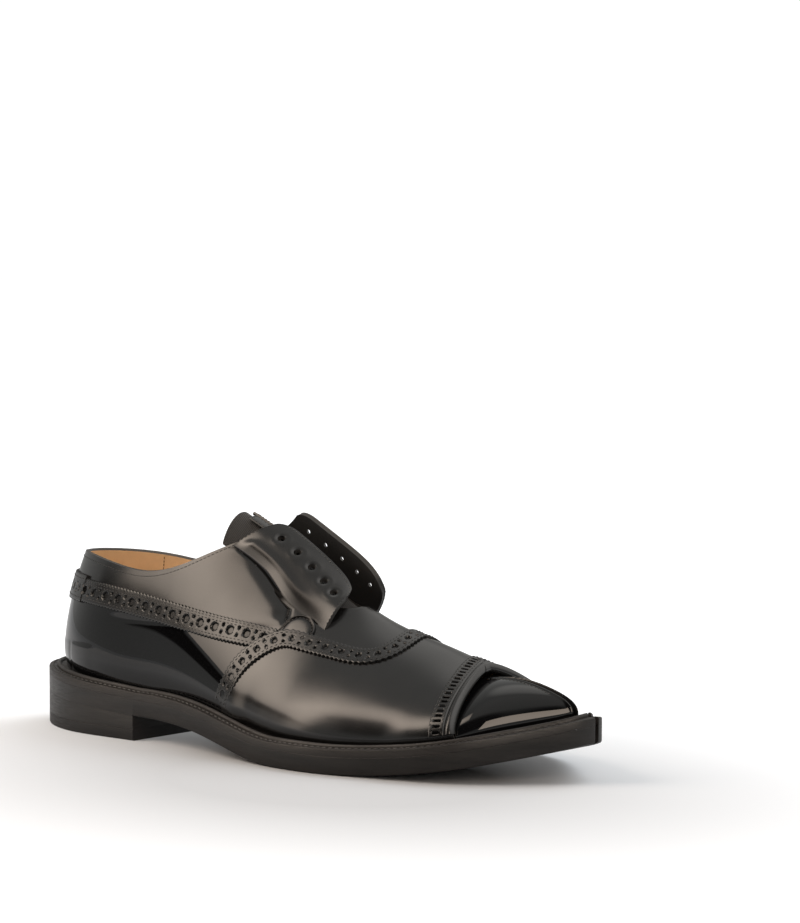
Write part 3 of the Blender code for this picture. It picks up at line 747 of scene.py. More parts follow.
def cloth(name, colour):
    """Ribbed textile of the tongue."""
    n = Nodes(name, colour, 0.75, specular=0.3)
    n.set("Sheen Weight", 0.12)
    rib = n.node("TexWave", Vector=n.place, Scale=520.0, Distortion=0.4)
    rib.bands_direction = "DIAGONAL"
    n.bump(rib.outputs["Fac"], 0.6, 0.0003)
    n.set("Base Color", n.mix(rib.outputs["Fac"], tinted(colour, 0.5), tinted(colour, 1.5)))
    return n.material


def thread(name, colour):
    n = Nodes(name, colour, 0.45, specular=0.6)
    n.bump(n.noise(2600.0), 0.4, 0.00005)
    n.set("Base Color", n.mix(n.noise(300.0), colour, tinted(colour, 1.8)))
    return n.material


CALF = calf("calf_black", (0.0036, 0.0034, 0.0032), 0.19, 0.05, 0.06)
PATENT = patent("patent_black", (0.0022, 0.0022, 0.0024))
STRIP = calf("strip_black", (0.0045, 0.0042, 0.0039), 0.24, 0.10, 0.04)
EDGE = calf("cut_edge", (0.016, 0.0145, 0.013), 0.5, 0.3, 0.0)
SUEDE = suede("flesh_side", (0.003, 0.003, 0.003))
LINING = lining_leather("lining_tan", (0.74, 0.52, 0.31))
SOLE = sole_leather("sole_edge", (0.0085, 0.0074, 0.0066), 0.40)
HEEL = sole_leather("heel_edge", (0.0085, 0.0074, 0.0066), 0.42)
LIFT = sole_leather("top_lift", (0.007, 0.0062, 0.006), 0.5)
WELT = sole_leather("welt", (0.009, 0.0075, 0.0066), 0.46)
CLOTH = cloth("tongue_cloth", (0.018, 0.0165, 0.0155))
THREAD = thread("thread_black", (0.010, 0.0093, 0.0088))
BOTTOM = sole_leather("tread", (0.017, 0.015, 0.014), 0.6)


# Stitches, all joined in one mesh

STITCHES = Mesh()
STITCH_SIDES = 6
Thread = namedtuple("Thread", "pitch length radius")
RIM_THREAD = Thread(2.0, 1.5, 0.22)
SEAM_THREAD = Thread(1.7, 1.2, 0.2)
LINING_THREAD = Thread(1.8, 1.3, 0.2)
EDGE_THREAD = Thread(1.9, 1.4, 0.2)
TAB_THREAD = Thread(1.7, 1.25, 0.2)
TACK_THREAD = Thread(3.2, 3.0, 0.3)
BAND_THREAD = Thread(2.1, 1.5, 0.24)
WELT_THREAD = Thread(3.0, 2.4, 0.42)
STITCH = table(
    "place size rise",
    (-0.5, 0.05, -0.6),
    (-0.36, 0.8, 0.1),
    (0.0, 1.0, 0.35),
    (0.36, 0.8, 0.1),
    (0.5, 0.05, -0.6),
)


def stitches(points, normals, kind, sunk=0.05):
    """Short threads laid end to end along a line on a surface."""
    at = along_line(points, kind.pitch)
    at = (at[:-1] + at[1:]) / 2
    centre = sampled(points, at)
    normal = unit(sampled(np.broadcast_to(normals, points.shape), at))
    ahead = sampled(points, np.clip(at + 0.3, 0, len(points) - 1))
    behind = sampled(points, np.clip(at - 0.3, 0, len(points) - 1))
    along = unit(ahead - behind)
    side = unit(np.cross(normal, along))
    normal = np.cross(along, side)
    rings = []
    for row in STITCH:
        ring = []
        for corner in range(STITCH_SIDES + 1):
            angle = 2 * np.pi * (corner % STITCH_SIDES) / STITCH_SIDES
            offset = side * np.cos(angle) + normal * np.sin(angle)
            lift = normal * (kind.radius * row.rise - sunk)
            ring.append(centre + along * row.place * kind.length + offset * kind.radius * row.size + lift)
        rings.append(np.stack(ring, 1))
    for one in np.stack(rings, 1):
        STITCHES.grid(one)


# Upper: quarters and vamp as one wall

HEEL_ROUND = 0.14
SIDE_TURNS = turn_of(np.concatenate([
    HEEL_ROUND * (1 - np.cos(np.linspace(0, np.pi / 2, 40))),
    np.linspace(HEEL_ROUND, VAMP_FRONT, 190)[1:],
]))
TURNS = np.concatenate([SIDE_TURNS[::-1], -SIDE_TURNS[1:]])
ROWS_UP = 72
ROWS_CROWD = 1.15
HOOD_START = 0.60
PATENT_END = 0.47
RIM_PROUD = 0.7
RIM_STITCH_IN = 2.4
RIM_STITCH_END = 0.385
LINING_SEAM = 0.11
LINING_SEAM_ROWS = slice(30, -2)

# The facing's seam leaves the flap's root part way and turns down behind the tab
SEAM_ROOT_PART = 0.60
SEAM_END = table("station share", (0.474, 0.632), (0.484, 0.598), (0.489, 0.570), (0.491, 0.540))
SEAM_UP = (0.3, -0.67, 0.68)
SEAM_DEPTH = 1.0
SEAM_SPREAD = 5.0
SEAM_AHEAD = 1.1
SEAM_AHEAD_MORE = 2.6
SEAM_FINE_DEPTH = 0.4
SEAM_FINE_WIDTH = 0.8
# Width of the painted shade along the seam's groove
SEAM_PAINTED_SHADE = 0.75
COUNTER_SEAM = 0.080
COUNTER_SEAM_WIDTH = 0.0022
COUNTER_SEAM_DEPTH = 0.3
COUNTER_RISE = 0.22
FOOT_TUCK = 0.8
FOOT_TUCK_SHARE = 0.055
VAMP_UNTUCK = 0.8
FOOT_REACH = 0.65
# Stretches: where a change starts or ends, and how long it takes
SEAM_DEEPENS = (0.0, 0.5)
SEAM_STARTS = (0.0, 0.1)
SEAM_NARROWS = (0.62, 0.12)
SEAM_ENDS = (1.0, 0.1)
SEAM_PAINTED_SHADE_ENDS = (1.0, 0.06)
COUNTER_TOP = (39.2, 1.8)
COUNTER_FRONT = (0.16, 0.03)
VAMP_FROM = (0.47, 0.08)
VAMP_TO = (0.79, 0.04)
VAMP_ROLL = 0.096
VAMP_ROLL_TOP = 28.0
VAMP_ROLL_EASE = 6.0
PATENT_FROM = (0.12, 0.12)
PATENT_TO = (0.50, 0.04)
PATENT_TOP = (56.0, 5.0)
PATENT_TILT = 0.06
PATENT_MIDDLE = 40.0


def quarter_mid_share(turn):
    return share_at_height(turn, float(QUARTER_HEIGHT(station_of(turn))))


def wing_path(count):
    steps = np.linspace(0, 1, len(WING))
    at = np.linspace(0, 1, count)
    turns = cubic(steps, turn_of(column(WING, "station")))(at)
    shares = cubic(steps, column(WING, "share"))(at)
    return np.concatenate([turns, turns[::-1][1:]]), np.concatenate([shares, 2 - shares[::-1][1:]])


def facing_curves(rows):
    steps = np.linspace(0, 1, len(rows))
    return {name: cubic(steps, column(rows, name)) for name in FACING_COLUMNS.split()}


def facing_root(curves, side, s):
    """Turn and share of the flap's root at a place along the facing."""
    turn = side * float(turn_of(curves["station"](s)))
    return turn, share_at_height(turn, float(curves["root_z"](s)))


def seam_line(rows, side):
    curves = facing_curves(rows)
    roots = np.array([wall(*facing_root(curves, side, s)) for s in np.linspace(0, 1, 24)])
    roots = roots[: int(SEAM_ROOT_PART * len(roots))]
    ends = wall(side * turn_of(column(SEAM_END, "station")), np.array(column(SEAM_END, "share")))
    line = np.concatenate([roots, ends])
    knots = np.linspace(0, 1, len(line))
    return np.stack([cubic(knots, line[:, k])(np.linspace(0, 1, 60)) for k in range(3)], 1)


FACING_ROWS = {1: FACING_LATERAL, -1: FACING_MEDIAL}
SEAMS = {side: seam_line(rows, side) for side, rows in FACING_ROWS.items()}


def relief(points, side, shares, stations):
    """Form of the upper: seam troughs, the counter's cap, the vamp's roll and the lean of the
    patent quarter. Also gives the painted shade along the seams, how dark the leather is there."""
    gap, where, beside = line_distance(points, SEAMS[side], on_side(SEAM_UP, side))
    height = points[..., 2]
    ahead = SEAM_AHEAD + SEAM_AHEAD_MORE * falls(where, *SEAM_NARROWS)
    spread = np.where(beside * side < 0, SEAM_SPREAD, ahead)
    rise = -SEAM_DEPTH * rises(where, *SEAM_DEEPENS) * bell(gap, spread) * falls(where, *SEAM_ENDS)
    rise -= SEAM_FINE_DEPTH * rises(where, *SEAM_STARTS) * bell(gap, SEAM_FINE_WIDTH)
    on_vamp = rises(stations, *VAMP_FROM) * falls(stations, *VAMP_TO)
    below = np.clip(VAMP_ROLL_TOP - height, 0, None)
    eased = np.minimum(below, VAMP_ROLL_EASE)
    rise -= VAMP_ROLL * on_vamp * (eased**2 / (2 * VAMP_ROLL_EASE) + below - eased)
    rise -= FOOT_TUCK * (1 - VAMP_UNTUCK * on_vamp) * bell(shares, FOOT_TUCK_SHARE)
    cap = falls(height, *COUNTER_TOP) * falls(stations, *COUNTER_FRONT)
    rise += COUNTER_RISE * cap
    rise -= COUNTER_SEAM_DEPTH * cap * bell(stations - COUNTER_SEAM, COUNTER_SEAM_WIDTH)
    leaning = rises(stations, *PATENT_FROM) * falls(stations, *PATENT_TO) * falls(height, *PATENT_TOP)
    rise -= PATENT_TILT * (height - PATENT_MIDDLE) * leaning
    # Painted shade: darker, less glossy leather in the seam's groove
    mark = bell(gap, SEAM_PAINTED_SHADE) * rises(where, *SEAM_STARTS) * falls(where, *SEAM_PAINTED_SHADE_ENDS)
    return rise, mark


def below_strip(shares, station):
    """Where the upper is patent: under the quarter strip and behind the wing."""
    turns, path = wing_path(60)
    half = len(turns) // 2 + 1
    order = np.argsort(path[:half])
    behind_wing = station < np.interp(shares, path[:half][order], station_of(turns[:half])[order])
    quarter = np.array([quarter_mid_share(t) if station_of(t) < 0.5 else 0.0 for t in TURNS])[:, None]
    return (shares < quarter) & behind_wing & (station < PATENT_END)


def build_upper():
    columns = []
    for turn in TURNS:
        shares = rim_share(turn) * (1 - np.linspace(1, 0, ROWS_UP) ** ROWS_CROWD)
        turns = led(turn, shares)
        flat, normal = surface(turns, shares, 0.0)
        rise, mark = relief(flat, 1 if turn >= 0 else -1, shares, station_of(turns))
        columns.append((flat + normal * rise[:, None], flat - normal * WALL, shares, mark))
    outer, inner, shares, marks = (np.array(one) for one in zip(*columns))
    for skin in (outer, inner):
        skin[:, 0, 2] -= FOOT_REACH
    station = station_of(TURNS)[:, None] + 0 * shares
    materials = [CALF, PATENT, LINING, EDGE, SUEDE]
    calf_slot, patent_slot, lining_slot, edge_slot, suede_slot = range(len(materials))
    mesh = Mesh()
    outside = np.where(below_strip(shares, station), patent_slot, calf_slot)[1:, 1:]
    # The marks are painted shade along the facing seams
    top = mesh.grid(outer, marks, outside)
    inside = np.where(station > HOOD_START, suede_slot, lining_slot)[1:, 1:]
    bottom = mesh.grid(inner, 0.0, inside, flip=True)
    crest = mesh.add((outer[:, -1] + inner[:, -1]) / 2 + unit(outer[:, -1] - outer[:, -3]) * RIM_PROUD)
    mesh.sew(np.stack([top[:, -1], crest, bottom[:, -1]], 1), edge_slot)
    mesh.sew(np.stack([bottom[:, 0], top[:, 0]], 1), edge_slot)
    for end in (0, -1):
        mesh.sew(np.stack([top[end], bottom[end]], 1), edge_slot, flip=end == 0)
    made = mesh.make("upper_leather", materials)
    stands_for(made, "upper")
    normals = grid_normals(outer)
    rim = outer[:, -1] - unit(outer[:, -1] - outer[:, -6]) * RIM_STITCH_IN
    keep = station_of(TURNS) < RIM_STITCH_END
    stitches(rim[keep], normals[:, -4][keep], RIM_THREAD)
    flat = outer.reshape(-1, 3)
    back = grid_normals(inner)
    for side, seam in SEAMS.items():
        nearest = np.linalg.norm(flat[:, None] - seam[None, 4:], axis=-1).argmin(0)
        stitches(flat[nearest], normals.reshape(-1, 3)[nearest], SEAM_THREAD)
        i = int(np.argmin(np.abs(TURNS - side * turn_of(LINING_SEAM))))
        stitches(inner[i, LINING_SEAM_ROWS], -back[i, LINING_SEAM_ROWS], LINING_THREAD)
    return made


# Facings

FACING_OUT = (0.0, -0.6, 0.8)
ROOT_OVERLAP = -0.07
CAD_ACROSS = np.array([ROOT_OVERLAP, 0.12, 0.3, 0.5, 0.7, 0.88, 1.0])
CAD_ALONG = 17
EYELET_CUT = table(
    "radius height",
    (0.0, -5.0),
    (1.0, -5.0),
    (1.0, -0.9),
    (EYELET_RADIUS, 0.4),
    (EYELET_RADIUS, 5.0),
    (0.0, 5.0),
)
PUCKER_DEPTH = 0.7
PUCKER_WIDTH = 2.1
LIP_RISE = 0.12
LIP_PLACE = 3.3
LIP_WIDTH = 1.1
FACING_PAD = 0.9
PAD_PLACE = 0.19
PAD_WIDTH = 0.12
FACING_SINK = 1.5
FRONT_SINK = 0.35
FACING_SINK_END = 0.04
FLESH_SINK = 0.4
PAD_FROM = (0.0, 0.1)
PAD_TO = (0.95, 0.5)
FRONT_SINK_FROM = (0.5, 0.14)
# Painted shade at the flap's root: where it fades out across and along the facing
ROOT_PAINTED_SHADE_ACROSS = (0.03, 0.03)
ROOT_PAINTED_SHADE_ALONG = (0.68, 0.06)


def facing_grid(rows, side, along, across):
    curves = facing_curves(rows)
    grid = []
    for s in along:
        root, _ = surface(*facing_root(curves, side, s), -FACING_ROOT_DEPTH)
        free = np.array([curves["edge_x"](s) - LENGTH / 2, curves["edge_y"](s), curves["edge_z"](s)])
        corner = np.clip(1 - min(s, 1 - s) / FACING_CORNER_ALONG, 0, 1)
        reach = 1 - FACING_CORNER_ACROSS * (1 - np.sqrt(1 - corner**2))
        way = free - root
        rise = np.cross(way, INSTEP_SLOPE) * -side
        rise /= np.linalg.norm(rise)
        w = across * reach
        bulge = FACING_BULGE * 4 * np.clip(w, 0, 1) * (1 - np.clip(w, 0, 1))
        grid.append(root + w[:, None] * way + bulge[:, None] * rise)
    return np.array(grid)


def eyelet_places(rows, side):
    """Centres of the eyelets, with the facing's outward normal and cross direction there."""
    stops = cosine_stations(0.0, 1.0, CAD_ALONG)
    coarse = facing_grid(rows, side, stops, CAD_ACROSS)
    spots = []
    for s in np.linspace(EYELET_FIRST, EYELET_LAST, EYELETS):
        i = int(np.clip(np.searchsorted(stops, s) - 1, 0, len(coarse) - 2))
        a = (s - stops[i]) / (stops[i + 1] - stops[i])
        row = coarse[i] * (1 - a) + coarse[i + 1] * a
        shares = np.linspace(0, 1, len(row))
        place = np.array([np.interp(EYELET_LINE, shares, row[:, k]) for k in range(3)])
        across = row[-1] - row[1]
        middle = len(row) // 2
        normal = unit(np.cross(across, coarse[i + 1][middle] - coarse[i][middle]))
        normal *= np.sign(normal @ on_side(FACING_OUT, side))
        spots.append((place, normal, unit(across)))
    return spots


def eyelet_tool(spots):
    tool = Mesh()
    angle = np.linspace(0, 2 * np.pi, 25)[:, None]
    for place, up, across in spots:
        ring = np.cos(angle) * across + np.sin(angle) * np.cross(up, across)
        tool.grid(np.stack([place + row.radius * ring + row.height * up for row in EYELET_CUT]))
    return tool.make("eyelet_tool", [EDGE])


def build_facing(name, rows, side):
    along = cosine_stations(0.0, 1.0, 84)
    across = np.linspace(ROOT_OVERLAP, 1.0, 52)
    middle = facing_grid(rows, side, along, across)
    normal = grid_normals(middle)
    normal *= np.sign((normal * on_side(FACING_OUT, side)).sum(-1).mean())
    spots = eyelet_places(rows, side)
    padded = rises(along, *PAD_FROM) * falls(along, *PAD_TO)
    form = FACING_PAD * bell(across - PAD_PLACE, PAD_WIDTH) * padded[:, None]
    for place, _, _ in spots:
        gap = np.linalg.norm(middle - place, axis=-1)
        form += LIP_RISE * bell(gap - LIP_PLACE, LIP_WIDTH) - PUCKER_DEPTH * bell(gap, PUCKER_WIDTH)
    deep = FRONT_SINK + (FACING_SINK - FRONT_SINK) * (1 - rises(along, *FRONT_SINK_FROM))
    sunk = deep[:, None] * falls(across, FACING_SINK_END, FACING_SINK_END - ROOT_OVERLAP)
    half = FACING_THICK / 2
    outer = middle + normal * (half + form - sunk)[..., None]
    inner = middle - normal * (half + FLESH_SINK * sunk)[..., None]
    # Painted shade on the flap's root, where it folds out of the quarter
    dark = falls(across, *ROOT_PAINTED_SHADE_ACROSS) * falls(along, *ROOT_PAINTED_SHADE_ALONG)[:, None]
    mesh = Mesh()
    thick_sheet(mesh, outer, inner, dark, (0, 1, 2), 0.25)
    made = mesh.make(name, [CALF, SUEDE, EDGE])
    cut(made, eyelet_tool(spots), 0.7)
    stands_for(made)
    edge_row = outer.shape[1] - 3
    stitches(outer[3:-3, edge_row], normal[3:-3, edge_row], EDGE_THREAD)
    for end in (3, -4):
        stitches(outer[end, 8:edge_row], normal[end, 8:edge_row], EDGE_THREAD)
    return made


# Half-moon tabs at the foot of the facings

TAB_STATION = 0.519
TAB_SHARE = 0.562
TAB_RADIUS = 7.4
TAB_DROP = 7.0
TAB_THICK = 0.8
TAB_TILT = 0.09
TAB_MIDDLE = 0.45
# Across the tab: share of the way out, height, and painted shade in the groove of its stitched outline and
# at its edge
TAB_PROFILE = table(
    "share rise mark",
    (0.0, 1.25, 0.0),
    (0.3, 1.2, 0.0),
    (0.55, 1.1, 0.0),
    (0.72, 1.0, 0.0),
    (0.8, 0.85, 0.35),
    (0.86, 0.40, 1.0),
    (0.91, 0.85, 0.6),
    (0.96, 1.0, 0.2),
    (0.99, 0.8, 0.3),
    (1.0, 0.3, 0.8),
    (1.01, -0.4, 1.0),
)
TAB_STITCH_ROW = 5
TAB_INNER_FACE = 70
TACK_STATION = 0.553
TACK_SHARE = 0.576
TACK_HALF = 1.6
TACK_RISE = 0.35


def build_tab(name, side, skin):
    turn = side * float(turn_of(TAB_STATION))
    centre, normal = surface(turn, TAB_SHARE, 0.0)
    along = unit(wall(turn + side * SMALL, TAB_SHARE) - wall(turn - side * SMALL, TAB_SHARE))
    up = unit(np.cross(normal, along)) * side
    along = np.cross(up, normal)
    angles = np.linspace(0, np.pi, 61)
    foot = -TAB_DROP / TAB_RADIUS
    ring = np.array([(1.0, foot), *zip(np.cos(angles), np.sin(angles)), (-1.0, foot)])
    middle = np.array([0.0, -TAB_MIDDLE * TAB_DROP])
    shares, rise, marks = (np.array(column(TAB_PROFILE, one))[:, None] for one in ("share", "rise", "mark"))
    flat = middle + shares[..., None] * (ring * TAB_RADIUS - middle)
    base = drape(skin, centre + flat[..., :1] * along + flat[..., 1:] * up, -normal)
    raised = rise * TAB_THICK + TAB_TILT * flat[..., 1] * (shares < 1.0)
    top = base + normal * raised[..., None]
    mesh = Mesh()
    # The marks are painted shade in the tab's groove and at its edge
    mesh.grid(top, np.broadcast_to(marks, raised.shape))
    made = mesh.make(name, [CALF], turn_out=False, sharp=1.2)
    if made.data.polygons[TAB_INNER_FACE].normal @ Vector(normal) < 0:
        made.data.flip_normals()
    stands_for(made)
    stitches(top[TAB_STITCH_ROW, 1:-1], normal, TAB_THREAD)
    tack = surface(side * float(turn_of(TACK_STATION)), TACK_SHARE, 0.0)[0]
    tack = tack + np.linspace(-TACK_HALF, TACK_HALF, 9)[:, None] * along
    tack = drape(skin, tack, -normal) + normal * TACK_RISE
    for offset in (-0.5, 0.0, 0.5):
        stitches(tack + up * offset, normal, TACK_THREAD)


# Strips with gimped edges and punched holes

BAND_LIFT = 1.0
TOOTH_ROOM = 0.4
RIM_ROOM = 2.6
BAND_ROWS = 29
BAND_CROWD = 0.85
STRIP_STEP = 0.36
STRIP_FOOT = 0.1
EDGE_DIP = 0.12
TOOTH = BAND_THREAD.pitch
TOOTH_DEPTH = 0.8
HOLE_FLOOR = 0.12
# Holes are painted dark as shade; a large hole's middle is paler by this share, where the leather below
# shows, leaving a ring of painted shade this wide
HOLE_PALE = 0.7
HOLE_RING = 0.55
SHARE_ENDS = (0.004, 1.996)
# Rolled rim of the vamp's front edge: share of the way from the band to the leather's end, and height
RIM_TOP = [(0.08, 0.70), (0.2, 1.10), (0.36, 1.40), (0.52, 1.50), (0.68, 1.42), (0.82, 1.15), (0.92, 0.75)]
# then how far past the leather's end, and height
RIM_ROLL = [(0.5, 0.2), (0.8, -0.5), (0.85, -1.2), (0.6, -1.9), (0.1, -2.4), (-1.2, -2.6)]
RIM_DIP = (0.1, 0.35, 0.5)
# Painted shade in the groove in front of the rolled rim
RIM_SHADE = 0.6
RIM_ROUND = 0.16
QUARTER_OVERLAP = 0.045
QUARTER_END_SINK = 0.55
HEEL_PATCH_TURN = 0.098
HEEL_PATCH_HALF = 5.9
HEEL_PATCH_UP = 0.004
HEEL_PATCH_HIGH = 0.3
QUARTER_END = (0.44, 0.05)


def strip_steps(turns, shares):
    """Even sampling of a path over the upper: turns, shares, places, and both steps for 1 mm sideways."""
    place, _ = surface(turns, shares, 0.0)
    turns, shares = sampled(np.stack([turns, shares], 1), along_line(place, STRIP_STEP)).T
    place, normal = surface(turns, shares, 0.0)
    across = unit(np.cross(normal, unit(np.gradient(place, axis=0))))
    per_turn = (wall(turns + SMALL, shares) - wall(turns - SMALL, shares)) / (2 * SMALL)
    per_share = (wall(turns, shares + SMALL) - wall(turns, shares - SMALL)) / (2 * SMALL)

    def dot(a, b):
        return (a * b).sum(-1)

    aa, bb, ab = dot(per_turn, per_turn), dot(per_share, per_share), dot(per_turn, per_share)
    ca, cb = dot(per_turn, across), dot(per_share, across)
    det = aa * bb - ab * ab
    return turns, shares, place, (ca * bb - cb * ab) / det, (cb * aa - ca * ab) / det


def build_strip(name, node, path, half, pattern, rows, gimped=True, sink=np.zeros_like, rim=None, high=0.0):
    """Thin band on the upper with rows of stitches; a rim gives how far ahead its front edge rolls over."""
    turns, shares, place, step_turn, step_share = strip_steps(*path)
    length = run_along(place)
    tooth = np.abs(((length / TOOTH) % 1.0) - 0.5) * 2
    spread = np.linspace(-1, 1, BAND_ROWS)
    spread = np.sign(spread) * np.abs(spread) ** BAND_CROWD
    v = spread * (half + TOOTH_DEPTH * gimped * tooth)[:, None]
    on_top = BAND_LIFT + high + sink(length / length[-1])
    hole, pale = pattern(length[:, None] + 0 * v, v, length[-1])
    lift = on_top[:, None] - hole * (BAND_LIFT - HOLE_FLOOR)
    lift[:, 1] -= EDGE_DIP
    lift[:, 0] = STRIP_FOOT
    v[:, 0] = v[:, 1] - STRIP_FOOT
    if rim is None:
        lift[:, -2] -= EDGE_DIP
        lift[:, -1] = STRIP_FOOT
        v[:, -1] = v[:, -2] + STRIP_FOOT
    else:
        front = (rim(turns, shares) / step_turn)[:, None]
        over, roll = np.array(RIM_TOP), np.array(RIM_ROLL)
        lift[:, -3:] -= RIM_DIP
        v = np.hstack([v, half + (front - half) * over[:, 0], front + roll[:, 0]])
        heights = np.concatenate([over[:, 1], roll[:, 1]])
        plain = np.zeros((len(v), len(heights)))
        lift = np.hstack([lift, plain + heights])
        # Painted shade along the groove before the rim
        hole[:, -1] = np.maximum(hole[:, -1], RIM_SHADE)
        hole = np.hstack([hole, plain])
        pale = np.hstack([pale, plain])
    reached = np.clip(shares[:, None] + step_share[:, None] * v, *SHARE_ENDS)
    moved = turns[:, None] + step_turn[:, None] * v
    top, _ = surface(moved, reached, lift)
    bottom, _ = surface(moved[[0, -1]], reached[[0, -1]], 0.02)
    mesh = Mesh()
    # Painted shade in the punched holes and slots, paler in the middle of the large holes
    numbers = mesh.grid(top, np.clip(hole * 1.3 - 0.2, 0, 1) * (1 - HOLE_PALE * pale))
    ends = mesh.add(bottom)
    mesh.sew(np.stack([ends[0], numbers[0]]))
    mesh.sew(np.stack([numbers[-1], ends[1]]))
    stands_for(mesh.make(name, [STRIP], turn_out=False), node)
    for offset in rows:
        row_share = np.clip(shares + step_share * offset, *SHARE_ENDS)
        line, up = surface(turns + step_turn * offset, row_share, on_top)
        stitches(line, up, BAND_THREAD)


def soft_disc(gap, radius, blur):
    return 1 - ease((gap - radius + blur) / (2 * blur))


def repeated(u, length, pitch):
    """Place within a repeat of a row of marks, and the repeat's length."""
    step = length / max(1, round(length / pitch))
    return (u / step) % 1.0 * step, step


def brogue(pitch, big, small, apart):
    """Large holes in a row, with a pair of small ones between each two."""

    def pattern(u, v, length):
        cell, step = repeated(u, length, pitch)
        middle = np.hypot(cell - step / 2, v)
        found = soft_disc(middle, big, 0.22)
        for edge in (0.0, step):
            for side in (-apart, apart):
                found = np.maximum(found, soft_disc(np.hypot(cell - edge, v - side), small, 0.2))
        return found, soft_disc(middle, big - HOLE_RING, 0.22)

    return pattern


def dashes(pitch, place, half_length, half_width):
    """A row of short slots across the strip."""

    def pattern(u, v, length):
        cell, step = repeated(u, length, pitch)
        beyond = np.clip(np.abs(v - place) - half_length, 0, None)
        gap = np.hypot(cell - step / 2, beyond)
        return soft_disc(gap, half_width, 0.2), np.zeros_like(gap)

    return pattern


def build_strips():
    holes = brogue(pitch=8.2, big=1.35, small=0.62, apart=1.55)
    build_strip("wing_band", "wing_strip", wing_path(90), WING_STRIP_HALF - TOOTH_ROOM, holes, (-2.9, 2.9))

    def quarter_path(end, count, up):
        turns = np.linspace(-end, end, count)
        return turns, np.array([quarter_mid_share(t) for t in turns]) + up

    def sink(part):
        return -QUARTER_END_SINK * rises(np.abs(part - 0.5), *QUARTER_END)

    path = quarter_path(float(turn_of(QUARTER_STRIP[-1].station + QUARTER_OVERLAP)), 181, 0.0)
    holes = brogue(pitch=8.6, big=1.85, small=0.68, apart=1.75)
    rows = (-3.5, 3.9, 2.7)
    half = QUARTER_STRIP_HALF - TOOTH_ROOM
    build_strip("quarter_band", "quarter_strip", path, half, holes, rows, sink=sink)
    path = quarter_path(HEEL_PATCH_TURN, 61, HEEL_PATCH_UP)
    holes = brogue(pitch=8.6, big=1.3, small=0.68, apart=1.7)
    build_strip("heel_patch", None, path, HEEL_PATCH_HALF, holes, (-4.2, 4.2), high=HEEL_PATCH_HIGH)
    spread = np.linspace(-1, 1, 121)
    shares = 1 + (1 - EDGE_STRIP_FOOT) * np.sign(spread) * np.abs(spread) ** CROWD
    lead = LATERAL_LEAD * np.clip(1 - shares, 0, 1) + MEDIAL_LEAD * np.clip(shares - 1, 0, 1)
    path = turn_of(VAMP_FRONT - EDGE_STRIP_BACK + lead)[::-1], shares[::-1]

    def to_front(turns, shares):
        lead = np.where(shares < 1, LATERAL_LEAD, MEDIAL_LEAD)
        away = np.abs(shares - 1)
        return turn_of(VAMP_FRONT + lead * np.hypot(away, RIM_ROUND * (1 - away))) - turns

    holes = dashes(pitch=2.6, place=-0.2, half_length=1.15, half_width=0.5)
    half = EDGE_STRIP_HALF - RIM_ROOM
    rows = (-2.7, 2.3)
    build_strip("vamp_edge_band", "vamp_edge_strip", path, half, holes, rows, gimped=False, rim=to_front)


# Split toe

CLEFT_OPEN = CLEFT_HALF - 0.5
PIPE_RISE = 0.55
PIPE_PLACE = 2.1
PIPE_WIDTH = 0.6
PIPE_FADE = 12.0
CLEFT_SHAPE = 1.5
# Painted shade in the toe's cleft, and how deep the split is where it starts and over how much it comes in
CLEFT_PAINTED_SHADE = 0.95
CLEFT_PAINTED_SHADE_FROM = (0.02, 0.3)
TIP_CROWD = 1.6
TOE_SIDES_END = 0.93
TOE_STITCH_AWAY = 3.2
TOE_STITCH_X = (246, 279)


def toe_ridge_y(x):
    return TOE_RIDGE_Y(np.minimum(x, RIDGE[-1].x))


def split_depth(points, half):
    x = points[..., 0] + LENGTH / 2
    depth = CLEFT_DEPTH * np.clip((x - CLEFT_START) / (CLEFT_FULL - CLEFT_START), 0, 1)
    near = np.clip(1 - np.abs(points[..., 1] - toe_ridge_y(x)) / half, 0, 1)
    return depth * near**CLEFT_SHAPE


def toe_grid(deeper, half):
    """Skin of the toe some way under its outside, with the split and the piping beside it."""
    sides = turn_of(np.linspace(TOE_BACK, TOE_SIDES_END, 60))
    tip = 0.5 - (0.5 - sides[-1]) * np.linspace(1, 0, 70)[1:] ** TIP_CROWD
    turns = np.concatenate([sides, tip])
    turns = np.concatenate([turns, -turns[::-1][1:]])
    shares = 1 - np.linspace(1, 0, 90) ** CROWD

    def inset(station):
        return toe_inset(station) + deeper

    def ridge(x):
        return TOE_RIDGE(x) - deeper

    grid = wall(turns[:, None], shares[None], inset, ridge, TOE_RIDGE_Y, TOE_CURVES)
    in_front = grid[..., 0] + LENGTH / 2 > CLEFT_FULL

    def press(depth):
        grid[..., 2] -= depth * shares
        grid[..., 0] -= depth * (1 - shares) * in_front

    press(split_depth(grid, half))
    x = grid[..., 0] + LENGTH / 2
    away = np.abs(grid[..., 1] - toe_ridge_y(x))
    press(-PIPE_RISE * bell(away - PIPE_PLACE, PIPE_WIDTH) * rises(x, CLEFT_START, PIPE_FADE))
    grid[:, 0, 2] -= FOOT_REACH
    return grid


def toe_height(grid, x, y):
    """Height of the toe's skin over a place, from the nearest four of its points."""
    flat = grid.reshape(-1, 3)
    gap = np.hypot(flat[:, 0] - x, flat[:, 1] - y)
    near = np.argpartition(gap, 4)[:4]
    weight = 1 / (gap[near] + 0.02)
    return float((flat[near, 2] * weight).sum() / weight.sum())


